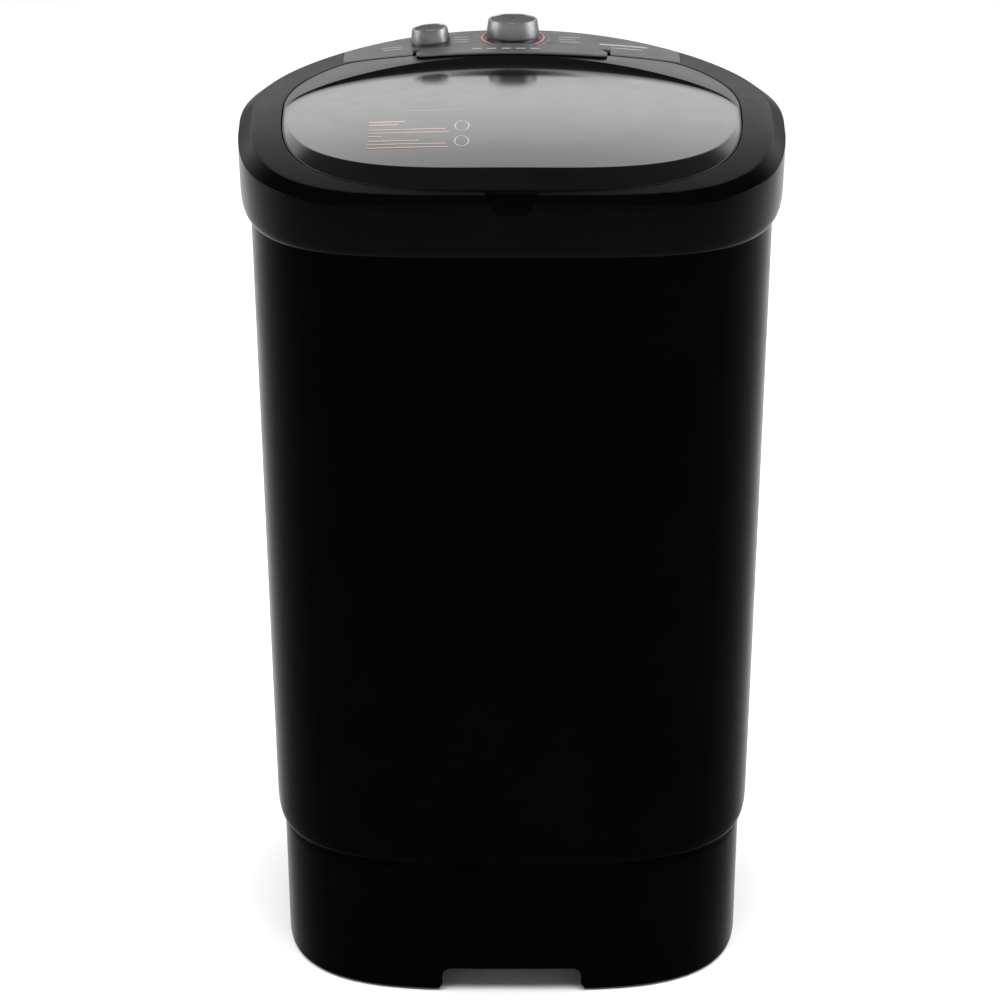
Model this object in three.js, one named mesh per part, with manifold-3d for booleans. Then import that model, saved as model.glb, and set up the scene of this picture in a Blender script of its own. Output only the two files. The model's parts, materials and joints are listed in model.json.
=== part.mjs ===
// Semi-automatic single-tub washing machine.
// Millimetres, +Z up, front towards -Y. Origin: centre of the footprint, on the floor.
import * as THREE from 'three';
import { mergeVertices } from 'three/addons/utils/BufferGeometryUtils.js';
import Module from 'manifold-3d';

const wasm = await Module();
wasm.setup();

// ---------------------------------------------------------------- driving dimensions
const HALF_WIDTH = 253.5;         // rim, side to side
const DEPTH_RATIO = 0.9467;       // rim depth over rim width
const RIM_FRONT_HEIGHT = 802;    // rim top at the front
const CROWN_RISE = 23;           // how much higher the rim top is at the rear
const CROWN_DROP = 30;           // how far the crown falls from the centre line to the sides
const CHAMFER_WIDTH = 12;
const CHAMFER_HEIGHT = 7.6;
const SKIRT_BOTTOM = 741;        // lower edge of the top frame's skirt
const SEAM = 137;                // where the cabinet meets the base
const SEAM_FRONT_POWER = 3.44;   // squareness of the front outline at the seam
const RIM_FRONT_POWER = 4.8;     // and at the rim
const RIM_TAPER = 0.11;          // how much the rim narrows towards its front
const REAR_POWER = 2.35;         // roundness of the rear outline
const WALL = 3;                  // plastic wall
const GAP = 0.4;                 // clearance between touching pieces

const SKIRT_LIP = 244.3;         // half width of the skirt's inner lip
const CABINET_TOP = 776;
const CABINET_TOP_HALF = 244;
const CABINET_SKIRT_HALF = 243;  // cabinet at the skirt's lower edge
const CABINET_SEAM_HALF = 227.6;
const BASE_TOP_HALF = 221.4;
const BASE_BOTTOM_HALF = 219.2;
const FLOOR_CLEARANCE = 2;       // feet stand this far below the base wall
const DECK = 60;                 // motor deck in the base
const GROOVE_HALF = 12;          // centre groove down the front
const GROOVE_DEPTH = 2;
const CUTOUT_HALF = 66;          // low opening at the front of the base
const CUTOUT_HEIGHT = 24;

const OPENING_HALF = 213.5;      // lid opening
const OPENING_FRONT = 215;
const OPENING_SIDE_REAR = 191;
const OPENING_POWER = 4;
const OPENING_TAPER = 0.09;
const LID_GAP = 1;
const LEDGE_DROP = 7;            // lid ledge below the rim top
const COLLAR_BOTTOM = 748;       // collar that drops into the tub
const CONSOLE_FRONT = 154;       // console's front edge on the centre line
const CONSOLE_BOW = 2560;        // its bow: y falls by x squared over this
const CONSOLE_HALF = 162;
const CONSOLE_TILT = THREE.MathUtils.degToRad(-4);   // knobs lean back

const HINGE_Y = 160;
const HINGE_Z = 817;
const TAB_HALF = 92;
const TAB_SWING = 169.5;         // the open tab's ends reach back almost this far

const TIMER_X = 1;
const TIMER_Y = 202;
const TIMER_RADIUS = 25.8;
const TIMER_HEIGHT = 17;
const SELECTOR_X = -78.5;
const SELECTOR_Y = 192;
const SELECTOR_RADIUS = 19.1;
const SELECTOR_HEIGHT = 14;
const TIMER_PAD = 1.6;           // knob's base above the console
const SELECTOR_PAD = 1.3;
const SELECTOR_LEAN = THREE.MathUtils.degToRad(-5);  // follows the crown to the left

const TUB_FLOOR = 338;
const TUB_TOP_HALF = 218.2;      // inside half width at the top
const TUB_FLOOR_HALF = 176;
const PULSATOR_Y = -28;
const PULSATOR_RADIUS = 132;
const SHAFT_RADIUS = 7;
const MOTOR_X = 108;
const MOTOR_Y = 72;
const DRIVEN_RADIUS = 88;
const MOTOR_PULLEY_RADIUS = 22;
const BELT_Z = 258;              // middle of the belt
const DRAIN_X = -118;
const DRAIN_Y = 62;

const SHELL_SEGMENTS = 40;

// ---------------------------------------------------------------- finishes
const finish = (color, roughness, metalness = 0) =>
  new THREE.MeshStandardMaterial({ color, roughness, metalness });
const BODY_BLACK = finish(0x0b0b0c, 0.28);
const FRAME_GREY = finish(0x2c2d2f, 0.38);
const CONSOLE_GREY = finish(0x4a4b4d, 0.5, 0.2);
const SMOKED = finish(0x1d1d1f, 0.08);
const KNOB_SILVER = finish(0x8d8f92, 0.35, 0.6);
const STEEL = finish(0x9b9da0, 0.35, 1);
const TUB_GREY = finish(0xc9ccce, 0.45);
const RUBBER = finish(0x17181a, 0.85);
const DARK_PLASTIC = finish(0x1f2022, 0.5);
const WHITE_PLASTIC = finish(0xd8d8d4, 0.45);
const MOTOR_GREY = finish(0x6d7074, 0.5, 0.7);
const COPPER = finish(0xa8683c, 0.35, 1);

// ---------------------------------------------------------------- solids and booleans
function solid(geometry) {
  const bare = geometry.clone();
  bare.deleteAttribute('normal');
  bare.deleteAttribute('uv');
  const merged = mergeVertices(bare, 1e-4);
  const index = merged.index.array;
  const triangles = [];
  for (let i = 0; i < index.length; i += 3) {
    const [a, b, c] = [index[i], index[i + 1], index[i + 2]];
    if (a !== b && b !== c && c !== a) triangles.push(a, b, c);
  }
  return new wasm.Manifold(new wasm.Mesh({
    numProp: 3,
    vertProperties: new Float32Array(merged.attributes.position.array),
    triVerts: new Uint32Array(triangles),
  }));
}

function toGeometry(manifold) {
  const { vertProperties, triVerts } = manifold.getMesh();
  const geometry = new THREE.BufferGeometry();
  geometry.setAttribute('position', new THREE.BufferAttribute(vertProperties, 3));
  geometry.setIndex(new THREE.BufferAttribute(triVerts, 1));
  return geometry;
}

const join = (first, ...others) => others.reduce((sum, other) => sum.add(other), first);
const cut = (first, ...others) => others.reduce((rest, other) => rest.subtract(other), first);

function box(width, depth, height, x, y, z) {
  return solid(new THREE.BoxGeometry(width, depth, height).translate(x, y, z));
}

// Upright cylinder from bottom to top.
function rod(radius, bottom, top, x = 0, y = 0, segments = 16) {
  const geometry = new THREE.CylinderGeometry(radius, radius, top - bottom, segments);
  return solid(geometry.rotateX(Math.PI / 2).translate(x, y, (top + bottom) / 2));
}

// Cylinder along X or Y between two coordinates on that axis.
function rodAlongX(radius, from, to, y, z, segments = 12) {
  const geometry = new THREE.CylinderGeometry(radius, radius, to - from, segments);
  return solid(geometry.rotateZ(Math.PI / 2).translate((from + to) / 2, y, z));
}
function rodAlongY(radius, from, to, x, z, segments = 12) {
  const geometry = new THREE.CylinderGeometry(radius, radius, to - from, segments);
  return solid(geometry.translate(x, (from + to) / 2, z));
}

// Turned piece: [radius, z] pairs, on the axis at both ends or closed on itself.
function turned(profile, segments = 18, x = 0, y = 0) {
  const points = profile.map(([radius, z]) => new THREE.Vector2(radius, z));
  const geometry = new THREE.LatheGeometry(points, segments).rotateX(Math.PI / 2);
  return solid(mirrorIfInside(geometry)).translate([x, y, 0]);
}

// Flat outline pushed up from bottom to top.
function prism(outline, bottom, top, holes = []) {
  const shape = new THREE.Shape(outline.map(([x, y]) => new THREE.Vector2(x, y)));
  for (const hole of holes) {
    shape.holes.push(new THREE.Path(hole.map(([x, y]) => new THREE.Vector2(x, y))));
  }
  const geometry = new THREE.ExtrudeGeometry(shape, { depth: top - bottom, bevelEnabled: false });
  return solid(geometry.translate(0, 0, bottom));
}

// Six times the signed volume, to see which way a closed surface faces.
function signedVolume(geometry) {
  const p = geometry.attributes.position;
  const index = geometry.index.array;
  const corner = [new THREE.Vector3(), new THREE.Vector3(), new THREE.Vector3()];
  let sum = 0;
  for (let i = 0; i < index.length; i += 3) {
    corner.forEach((v, k) => v.fromBufferAttribute(p, index[i + k]));
    sum += corner[0].dot(corner[1].cross(corner[2]));
  }
  return sum;
}

function mirrorIfInside(geometry) {
  if (signedVolume(geometry) < 0) {
    const index = geometry.index.array;
    for (let i = 0; i < index.length; i += 3) {
      [index[i], index[i + 1]] = [index[i + 1], index[i]];
    }
  }
  return geometry;
}

// A lathe whose rings follow free outlines: each ring is a function from angle to [x, y, z].
// closed joins the last ring to the first; otherwise both end rings are single points.
function ringSolid(rings, { closed = true, segments = SHELL_SEGMENTS } = {}) {
  const loop = closed ? [...rings, rings[0]] : rings;
  const seed = loop.map((_, k) => new THREE.Vector2(1, k));
  const geometry = new THREE.LatheGeometry(seed, segments);
  const position = geometry.attributes.position;
  for (let i = 0; i <= segments; i++) {
    const angle = ((i % segments) / segments) * 2 * Math.PI;
    loop.forEach((ring, k) => position.setXYZ(i * loop.length + k, ...ring(angle)));
  }
  return solid(mirrorIfInside(geometry));
}

// A slab over the plan area between two curves y0(x) and y1(x), following the crown.
function crownSlab(half, y0, y1, low, high, steps = 14) {
  const geometry = new THREE.BoxGeometry(2 * half, 1, 1, steps, 2, 1);
  const position = geometry.attributes.position;
  for (let i = 0; i < position.count; i++) {
    const x = position.getX(i);
    const y = THREE.MathUtils.lerp(y0(x), y1(x), position.getY(i) + 0.5);
    const z = RIM_FRONT_HEIGHT + crown(x, y) + (position.getZ(i) > 0 ? high : low);
    position.setXYZ(i, x, y, z);
  }
  return solid(geometry);
}

function tube(points, radius, steps) {
  const path = new THREE.CatmullRomCurve3(points.map((p) => new THREE.Vector3(...p)));
  const section = new THREE.Shape();
  section.absarc(0, 0, radius, 0, 2 * Math.PI);
  return new THREE.ExtrudeGeometry(section, {
    steps, extrudePath: path, curveSegments: 4, bevelEnabled: false,
  });
}

// ---------------------------------------------------------------- outlines and surfaces
const clamp01 = (value) => THREE.MathUtils.clamp(value, 0, 1);
const signedPower = (value, power) => Math.sign(value) * Math.abs(value) ** power;

// Rounded four-sided outline: one exponent squares the front half, another rounds the rear.
// The taper is the share of its width that it loses towards the front.
function outline(angle, half, front, rear, frontPower, rearPower, taper = 0) {
  const power = Math.sin(angle) < 0 ? frontPower : rearPower;
  const depth = Math.sin(angle) < 0 ? front : rear;
  const y = depth * signedPower(Math.sin(angle), 2 / power);
  const narrowed = half * (1 - taper * clamp01(-y / front) ** 2);
  return [narrowed * signedPower(Math.cos(angle), 2 / power), y];
}

// Height of the rim's top surface above its front edge.
function crown(x, y) {
  const rimDepth = HALF_WIDTH * DEPTH_RATIO;
  const t = clamp01((y + rimDepth) / (2 * rimDepth));
  return CROWN_RISE * (1 - (1 - t) ** 2) - CROWN_DROP * t ** 1.8 * (x / HALF_WIDTH) ** 2;
}

// A ring of the cabinet's outline. Above the skirt's edge it rises with the crown.
function bodyRing(half, z) {
  const chamferLow = RIM_FRONT_HEIGHT - CHAMFER_HEIGHT;
  const share = clamp01((z - SEAM) / (chamferLow - SEAM));
  const frontPower = THREE.MathUtils.lerp(SEAM_FRONT_POWER, RIM_FRONT_POWER, share);
  const rise = clamp01((z - SKIRT_BOTTOM) / (chamferLow - SKIRT_BOTTOM));
  const depth = half * DEPTH_RATIO;
  return (angle) => {
    const [x, y] = outline(angle, half, depth, depth, frontPower, REAR_POWER, share * RIM_TAPER);
    return [x, y, z + rise * crown(x, y)];
  };
}

const consoleFront = (x) => CONSOLE_FRONT - (x * x) / CONSOLE_BOW;

// The lid opening's outline, its rear limited by the console's front edge.
function openingPoint(angle, half) {
  const [x, side] = outline(angle, OPENING_HALF, OPENING_FRONT, OPENING_SIDE_REAR,
    OPENING_POWER, REAR_POWER, OPENING_TAPER);
  const softness = 4;
  const rear = -softness * Math.log(Math.exp(-side / softness)
    + Math.exp(-consoleFront(x) / softness));
  const scale = half / OPENING_HALF;
  return [x * scale, rear * scale];
}

// A ring of the opening's outline, at a height measured from the crowned rim surface.
const openingRing = (half, height) => (angle) => {
  const [x, y] = openingPoint(angle, half);
  return [x, y, RIM_FRONT_HEIGHT + crown(x, y) + height];
};

// The same outline at a level height, for the tub.
const tubRing = (half, z) => (angle) => [...openingPoint(angle, half), z];

function sampled(ring, count = SHELL_SEGMENTS) {
  return Array.from({ length: count }, (_, i) => ring((i / count) * 2 * Math.PI));
}

// Depth of the rear wall at a side position x, on an outline of the given half width.
function rearWall(x, half) {
  const depth = half * DEPTH_RATIO;
  return depth * (1 - Math.abs(x / half) ** REAR_POWER) ** (1 / REAR_POWER);
}

const cabinetHalf = (z) => THREE.MathUtils.mapLinear(z, SEAM, SKIRT_BOTTOM,
  CABINET_SEAM_HALF, CABINET_SKIRT_HALF);
const baseHalf = (z) => THREE.MathUtils.mapLinear(z, 0, SEAM, BASE_BOTTOM_HALF, BASE_TOP_HALF);

// ---------------------------------------------------------------- housing
function basePiece() {
  const deckThickness = 4;
  const outerWall = ringSolid([
    bodyRing(BASE_BOTTOM_HALF, FLOOR_CLEARANCE), bodyRing(baseHalf(SEAM - 10), SEAM - 10),
    bodyRing(BASE_TOP_HALF - 2, SEAM - 2), bodyRing(BASE_TOP_HALF - 2, SEAM + 14),
    bodyRing(BASE_TOP_HALF - 5, SEAM + 14), bodyRing(BASE_TOP_HALF - 5, SEAM - 10),
    bodyRing(BASE_BOTTOM_HALF - WALL, FLOOR_CLEARANCE),
  ]);
  const deckHalf = baseHalf(DECK) - 2;
  const deck = ringSolid([
    () => [0, 0, DECK - deckThickness], bodyRing(deckHalf, DECK - deckThickness),
    bodyRing(deckHalf, DECK), () => [0, 0, DECK],
  ], { closed: false });
  const sockets = feetPlaces().map(([x, y]) => rod(20, FLOOR_CLEARANCE + 3, DECK - 2, x, y, 16));
  const bores = feetPlaces().map(([x, y]) => rod(8.4, 0, 30, x, y, 16));
  const cutout = prism([
    [-CUTOUT_HALF - 3, -10], [CUTOUT_HALF + 3, -10], [CUTOUT_HALF + 3, FLOOR_CLEARANCE + 1],
    [CUTOUT_HALF, FLOOR_CLEARANCE + 6], ...arc(CUTOUT_HALF - 8, CUTOUT_HEIGHT - 8, 8, 0, 90, 4),
    ...arc(-CUTOUT_HALF + 8, CUTOUT_HEIGHT - 8, 8, 90, 180, 4),
    [-CUTOUT_HALF, FLOOR_CLEARANCE + 6], [-CUTOUT_HALF - 3, FLOOR_CLEARANCE + 1],
  ], 150, 260).rotate([90, 0, 0]);
  const windows = [];
  for (const x of [-60, -30, 0, 30, 60]) {
    windows.push(box(14, 90, 20, x, -110, DECK - 2));
  }
  const spigotHole = rodAlongY(12.5, 190, 230, SPIGOT_X, SPIGOT_Z);
  const glandHole = rodAlongY(8.4, 190, 230, GLAND_X, SPIGOT_Z);
  return cut(join(outerWall, deck, ...sockets), ...bores, cutout, ...windows, spigotHole, glandHole);
}

function arc(cx, cy, radius, from, to, steps) {
  return Array.from({ length: steps + 1 }, (_, i) => {
    const angle = THREE.MathUtils.degToRad(from + ((to - from) * i) / steps);
    return [cx + radius * Math.cos(angle), cy + radius * Math.sin(angle)];
  });
}

function feetPlaces() {
  return [[-152, -160], [152, -160], [-140, 140], [140, 140]];
}

function foot() {
  return turned([[0, 0], [15, 0], [17, 3], [17, 4.6], [8, 4.6], [8, 28], [0, 28]], 16);
}

const SPIGOT_X = 70;
const GLAND_X = -70;
const SPIGOT_Z = 92;

function cabinetPiece() {
  const curl = SEAM + 18;
  const bottomWall = CABINET_SEAM_HALF - WALL;
  const shell = ringSolid([
    bodyRing(CABINET_TOP_HALF, CABINET_TOP), bodyRing(CABINET_SKIRT_HALF, SKIRT_BOTTOM),
    bodyRing(cabinetHalf(curl), curl), bodyRing(CABINET_SEAM_HALF - 1.2, SEAM + 8),
    bodyRing(CABINET_SEAM_HALF - 4.6, SEAM + 0.6), bodyRing(BASE_TOP_HALF - 0.6, SEAM + 0.6),
    bodyRing(BASE_TOP_HALF - 0.6, SEAM + 3.6), bodyRing(bottomWall - 2.2, SEAM + 8),
    bodyRing(bottomWall + 0.4, curl), bodyRing(CABINET_SKIRT_HALF - WALL, SKIRT_BOTTOM),
    bodyRing(CABINET_TOP_HALF - WALL, CABINET_TOP),
  ]);
  const yTop = CABINET_SKIRT_HALF * DEPTH_RATIO;
  const yBottom = CABINET_SEAM_HALF * DEPTH_RATIO;
  const grooveSide = [
    [yTop + 20, SKIRT_BOTTOM + 20], [yTop - GROOVE_DEPTH + 0.39, SKIRT_BOTTOM + 20],
    [yTop - GROOVE_DEPTH, SKIRT_BOTTOM], [yBottom - GROOVE_DEPTH, SEAM - 5],
    [yBottom + 20, SEAM - 5],
  ].map(([depth, z]) => [-depth, z]);
  const groove = prism(grooveSide, -GROOVE_HALF, GROOVE_HALF).rotate([90, 0, 90]);
  const window = box(SERVICE_HALF * 2 - 24, 60, SERVICE_HEIGHT - 24, 0, 225, SERVICE_Z);
  const pilots = screwPlaces().map(([x, z]) => screwShank(x, z, 1.9));
  return cut(shell, groove, window, ...pilots);
}

const SERVICE_HALF = 88;
const SERVICE_HEIGHT = 240;
const SERVICE_Z = 330;

function screwPlaces() {
  const x = SERVICE_HALF - 6;
  const z = SERVICE_HEIGHT / 2 - 6;
  return [[-x, SERVICE_Z - z], [x, SERVICE_Z - z], [-x, SERVICE_Z + z], [x, SERVICE_Z + z]];
}

// Direction and place of the rear wall where a screw goes in.
function screwPose(x, z) {
  const half = cabinetHalf(z);
  const y = rearWall(x, half);
  const slope = (rearWall(x + 1, half) - rearWall(x - 1, half)) / 2;
  return { y, turn: THREE.MathUtils.radToDeg(Math.atan(slope)) };
}

function screwShank(x, z, radius) {
  const { y, turn } = screwPose(x, z);
  return solid(new THREE.CylinderGeometry(radius, radius, 16, 12)).rotate([0, 0, turn])
    .translate([x, y, z]);
}

function serviceCover() {
  const outset = 2.6;
  const zLow = SERVICE_Z - SERVICE_HEIGHT / 2;
  const zHigh = SERVICE_Z + SERVICE_HEIGHT / 2;
  const skin = ringSolid([
    bodyRing(cabinetHalf(zHigh) + outset, zHigh), bodyRing(cabinetHalf(zLow) + outset, zLow),
    bodyRing(cabinetHalf(zLow) + GAP, zLow), bodyRing(cabinetHalf(zHigh) + GAP, zHigh),
  ]);
  const patch = box(SERVICE_HALF * 2, 80, SERVICE_HEIGHT + 10, 0, 225, SERVICE_Z);
  const holes = screwPlaces().map(([x, z]) => screwShank(x, z, 2.3));
  const vents = [];
  for (let row = 0; row < 6; row++) {
    vents.push(box(70, 80, 5, 0, 225, SERVICE_Z + 30 + row * 12));
  }
  return cut(skin.intersect(patch), ...holes, ...vents);
}

function coverScrew() {
  const profile = [[0, -9], [1.5, -8], [1.5, 3.1], [4, 3.1], [3.8, 4.6], [2.4, 5.4], [0, 5.6]];
  return turned(profile, 10);
}

// ---------------------------------------------------------------- top
function topFramePiece() {
  const lowSkirt = SKIRT_BOTTOM;
  const chamferLow = RIM_FRONT_HEIGHT - CHAMFER_HEIGHT;
  const plateInner = 150;
  const ring = ringSolid([
    bodyRing(SKIRT_LIP, lowSkirt), bodyRing(246.6, lowSkirt + 0.4), bodyRing(249.2, lowSkirt + 3.6),
    bodyRing(251, lowSkirt + 10), bodyRing(HALF_WIDTH, chamferLow),
    bodyRing(HALF_WIDTH - CHAMFER_WIDTH, RIM_FRONT_HEIGHT),
    bodyRing(200, RIM_FRONT_HEIGHT), bodyRing(plateInner, RIM_FRONT_HEIGHT),
    bodyRing(plateInner, RIM_FRONT_HEIGHT - WALL), bodyRing(200, RIM_FRONT_HEIGHT - WALL),
    bodyRing(HALF_WIDTH - CHAMFER_WIDTH - 1.5, RIM_FRONT_HEIGHT - WALL),
    bodyRing(HALF_WIDTH - WALL - 0.4, chamferLow - 2), bodyRing(248, lowSkirt + 12),
    bodyRing(246.8, lowSkirt + 6), bodyRing(SKIRT_LIP, lowSkirt + 3.6),
  ]);
  const opening = prism(sampled(openingRing(OPENING_HALF, 0)), 700, 900);
  const collar = ringSolid([
    openingRing(OPENING_HALF + 3, -1), tubRing(OPENING_HALF + 3, COLLAR_BOTTOM),
    tubRing(OPENING_HALF, COLLAR_BOTTOM), openingRing(OPENING_HALF, -LEDGE_DROP - WALL),
    openingRing(OPENING_HALF - 10, -LEDGE_DROP - WALL), openingRing(OPENING_HALF - 10, -LEDGE_DROP),
    openingRing(OPENING_HALF, -LEDGE_DROP), openingRing(OPENING_HALF, -1),
  ]);
  const rearEdge = (x) => rearWall(x, HALF_WIDTH - CHAMFER_WIDTH);
  const pocketFront = (x) => consoleFront(x) + 2;
  const pocketRear = (x) => rearEdge(x) - 1;
  const trayRear = (x) => rearEdge(x) + 1.5;
  const tray = crownSlab(CONSOLE_HALF + 6, (x) => pocketFront(x) - 1, trayRear, -6.2, -2.4);
  const pocket = crownSlab(CONSOLE_HALF + GAP, pocketFront, pocketRear, -3.2, 12);
  const trayWindow = crownSlab(CONSOLE_HALF - 12, () => 184, (x) => pocketRear(x) - 8, -20, 12);
  const hingeTrough = box(196, 33.9, 29, 0, 166.55, 808.9);
  const lidSpace = crownSlab(101, () => 130, () => 152.6, -LEDGE_DROP, 12);
  const hingeSpace = box(190, 29, 40, 0, HINGE_Y + 6.5, 817);
  const ears = [-1, 1].map((side) => box(6, 8, 26, side * 67, HINGE_Y, 807.5));
  const pinHole = rodAlongX(2.3, -80, 80, HINGE_Y, HINGE_Z, 12);
  const [scoopBlock, scoopSpace] = fingerScoop();
  const shell = join(cut(ring, opening), collar, tray, hingeTrough, scoopBlock);
  const opened = cut(shell, lidSpace, pocket, trayWindow, hingeSpace, scoopSpace);
  return cut(join(opened, ...ears), pinHole);
}

// Tapered finger recess in the middle of the front rim: the block behind it, and the hollow.
function fingerScoop() {
  const front = HALF_WIDTH * DEPTH_RATIO;
  const top = RIM_FRONT_HEIGHT + 4;
  const low = RIM_FRONT_HEIGHT - 15;
  const sideways = (outlinePoints, half) => prism(outlinePoints, -half, half).rotate([90, 0, 90]);
  const floor = RIM_FRONT_HEIGHT - 19;
  const roof = RIM_FRONT_HEIGHT - 2.2;
  const block = sideways([[-front + 1.5, floor], [-front + 25, floor], [-front + 25, roof],
    [-front + 10, roof], [-front + 1.5, roof - 6.2]], 30);
  const slope = sideways([[-front - 9, low], [-front - 1, low], [-front + 19, RIM_FRONT_HEIGHT - 1],
    [-front + 20, top], [-front - 9, top]], 27);
  const taper = prism([[-27, top], [-25, RIM_FRONT_HEIGHT - 1], [-12.5, low - 1], [12.5, low - 1],
    [25, RIM_FRONT_HEIGHT - 1], [27, top]], front - 22, front + 12).rotate([90, 0, 0]);
  return [block, slope.intersect(taper)];
}

function consolePiece() {
  const edge = (x) => rearWall(x, HALF_WIDTH - CHAMFER_WIDTH) - 1.4;
  const panel = crownSlab(CONSOLE_HALF, (x) => consoleFront(x) + 2.4, edge, -2.8, 0);
  const notchRear = (x) => Math.max(tabRear(x) + 5.5, TAB_SWING);
  const tabNotch = crownSlab(TAB_HALF + 3, () => 140, notchRear, -30, 20, 16);
  const below = crownSlab(120, () => 150, () => 240, -40, -2.6);
  const timerPad = cut(rodInGroup(TIMER_RADIUS - 1.8, -9, 0, timerPose()), below);
  const selectorPad = cut(rodInGroup(SELECTOR_RADIUS - 1.5, -9, 0, selectorPose()), below);
  const timerBore = rodInGroup(5, -20, 10, timerPose());
  const selectorBore = rodInGroup(5, -20, 10, selectorPose());
  return cut(join(panel, timerPad, selectorPad), tabNotch, timerBore, selectorBore);
}

// Matrix of the timer's own frame: its origin is where the knob meets the console.
function timerPose() {
  const z = RIM_FRONT_HEIGHT + crown(TIMER_X, TIMER_Y) + TIMER_PAD;
  return new THREE.Matrix4().makeRotationX(CONSOLE_TILT).setPosition(TIMER_X, TIMER_Y, z);
}

function selectorPose() {
  const z = RIM_FRONT_HEIGHT + crown(SELECTOR_X, SELECTOR_Y) + SELECTOR_PAD;
  const turn = new THREE.Euler(CONSOLE_TILT, SELECTOR_LEAN, 0);
  return new THREE.Matrix4().makeRotationFromEuler(turn).setPosition(SELECTOR_X, SELECTOR_Y, z);
}

function rodInGroup(radius, bottom, top, pose, segments = 20) {
  const geometry = new THREE.CylinderGeometry(radius, radius, top - bottom, segments);
  return solid(geometry.rotateX(Math.PI / 2).translate(0, 0, (top + bottom) / 2).applyMatrix4(pose));
}

// A control knob: grip wall, dished top and a hub that takes the shaft.
function knob(radius, height) {
  const body = turned([
    [0, 1.2 + GAP], [radius - 2, 1.2 + GAP], [radius - 2, GAP], [radius, GAP], [radius, 2],
    [radius - 1.6, height - 1.2], [radius - 2.6, height], [radius - 4, height],
    [radius - 4.6, height - 0.9], [0, height - 0.9],
  ], 20);
  const mark = box(1.6, radius * 0.55, 1.4, 0, radius - 5 - radius * 0.275, height - 0.6);
  return join(body, mark);
}

function knobShaft(length, top) {
  return turned([[0, -length], [3, -length], [3, top], [0, top]], 16);
}

// Block that the knob's shaft enters, with terminals below.
function rotaryUnit(width, depth, height, setBack, terminals) {
  const top = -14;
  const body = box(width, depth, height, 0, setBack, top - height / 2);
  const collar = rod(7, top - 1, top + 4, 0, 0, 16);
  const blades = [];
  for (let i = 0; i < terminals; i++) {
    const x = (i - (terminals - 1) / 2) * 7;
    blades.push(box(4, 0.9, 9, x, setBack - depth / 4, top - height - 3.5));
    blades.push(box(4, 0.9, 9, x, setBack + depth / 4, top - height - 3.5));
  }
  return cut(join(body, collar, ...blades), rod(3.4, top - height + 8, top + 6, 0, 0, 16));
}

// ---------------------------------------------------------------- lid
const LID_HALF = OPENING_HALF - LID_GAP;

// The lid's raised plateau is a shallow dome of its own.
function plateau(x, y) {
  return 820 - 6.5 * (x / 210) ** 2 - 5 * ((y + 70) / 200) ** 2;
}

const creasePoint = (angle) => outline(angle, 208, 194, 125, 3.4, 2, 0.12);

// Rear strip's front edge, level with the rim surface.
const stripPoint = (angle) => outline(angle, 210.8, 212, 141, OPENING_POWER, 1.85, OPENING_TAPER);

function lidPiece() {
  const skin = 3;
  const rimHeight = (point) => (angle) => {
    const [x, y] = point(angle);
    return [x, y, RIM_FRONT_HEIGHT + crown(x, y)];
  };
  const dome = (scale, drop = 0) => (angle) => {
    const [x, y] = creasePoint(angle).map((value) => value * scale);
    return [x, y, plateau(x, y) - drop];
  };
  const shell = ringSolid([
    () => [0, 0, plateau(0, 0)], dome(0.55), dome(0.85), dome(1),
    rimHeight(stripPoint), openingRing(LID_HALF, 0), openingRing(LID_HALF, -LEDGE_DROP + GAP),
    openingRing(LID_HALF - 6, -LEDGE_DROP + GAP), openingRing(LID_HALF - 7, -skin - 1),
    dome(0.97, skin + 1), dome(0.85, skin), dome(0.55, skin), () => [0, 0, plateau(0, 0) - skin],
  ], { closed: false });
  const hingeBlock = join(
    box(122, 9, 9, 0, HINGE_Y, HINGE_Z + 0.5), rodAlongX(4.5, -61, 61, HINGE_Y, HINGE_Z, 16),
    box(122, 14, 3.7, 0, HINGE_Y - 7, HINGE_Z + 2.65),
  );
  const pinHole = rodAlongX(2.4, -70, 70, HINGE_Y, HINGE_Z, 12);
  return cut(join(shell, hingeBlock), pinHole);
}

const tabFront = (x) => 143.5 - 0.0004 * x * x;
const tabRear = (x) => 175 - 0.00197 * x * x;

function hingeCover() {
  const slab = crownSlab(TAB_HALF, tabFront, tabRear, 0.3, 2.8, 18);
  const ends = [-1, 1].map((side) => box(12, 40, 20, side * (TAB_HALF + 5.4), 150, 822));
  return cut(slab, ...ends);
}

function hingePin(side) {
  const from = side < 0 ? -71 : 45;
  return rodAlongX(2, from, from + 26, HINGE_Y, HINGE_Z, 12);
}

// ---------------------------------------------------------------- wash tub
function tubHalf(z) {
  return THREE.MathUtils.mapLinear(z, TUB_FLOOR + 26, 760, TUB_FLOOR_HALF + 14, TUB_TOP_HALF);
}

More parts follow.
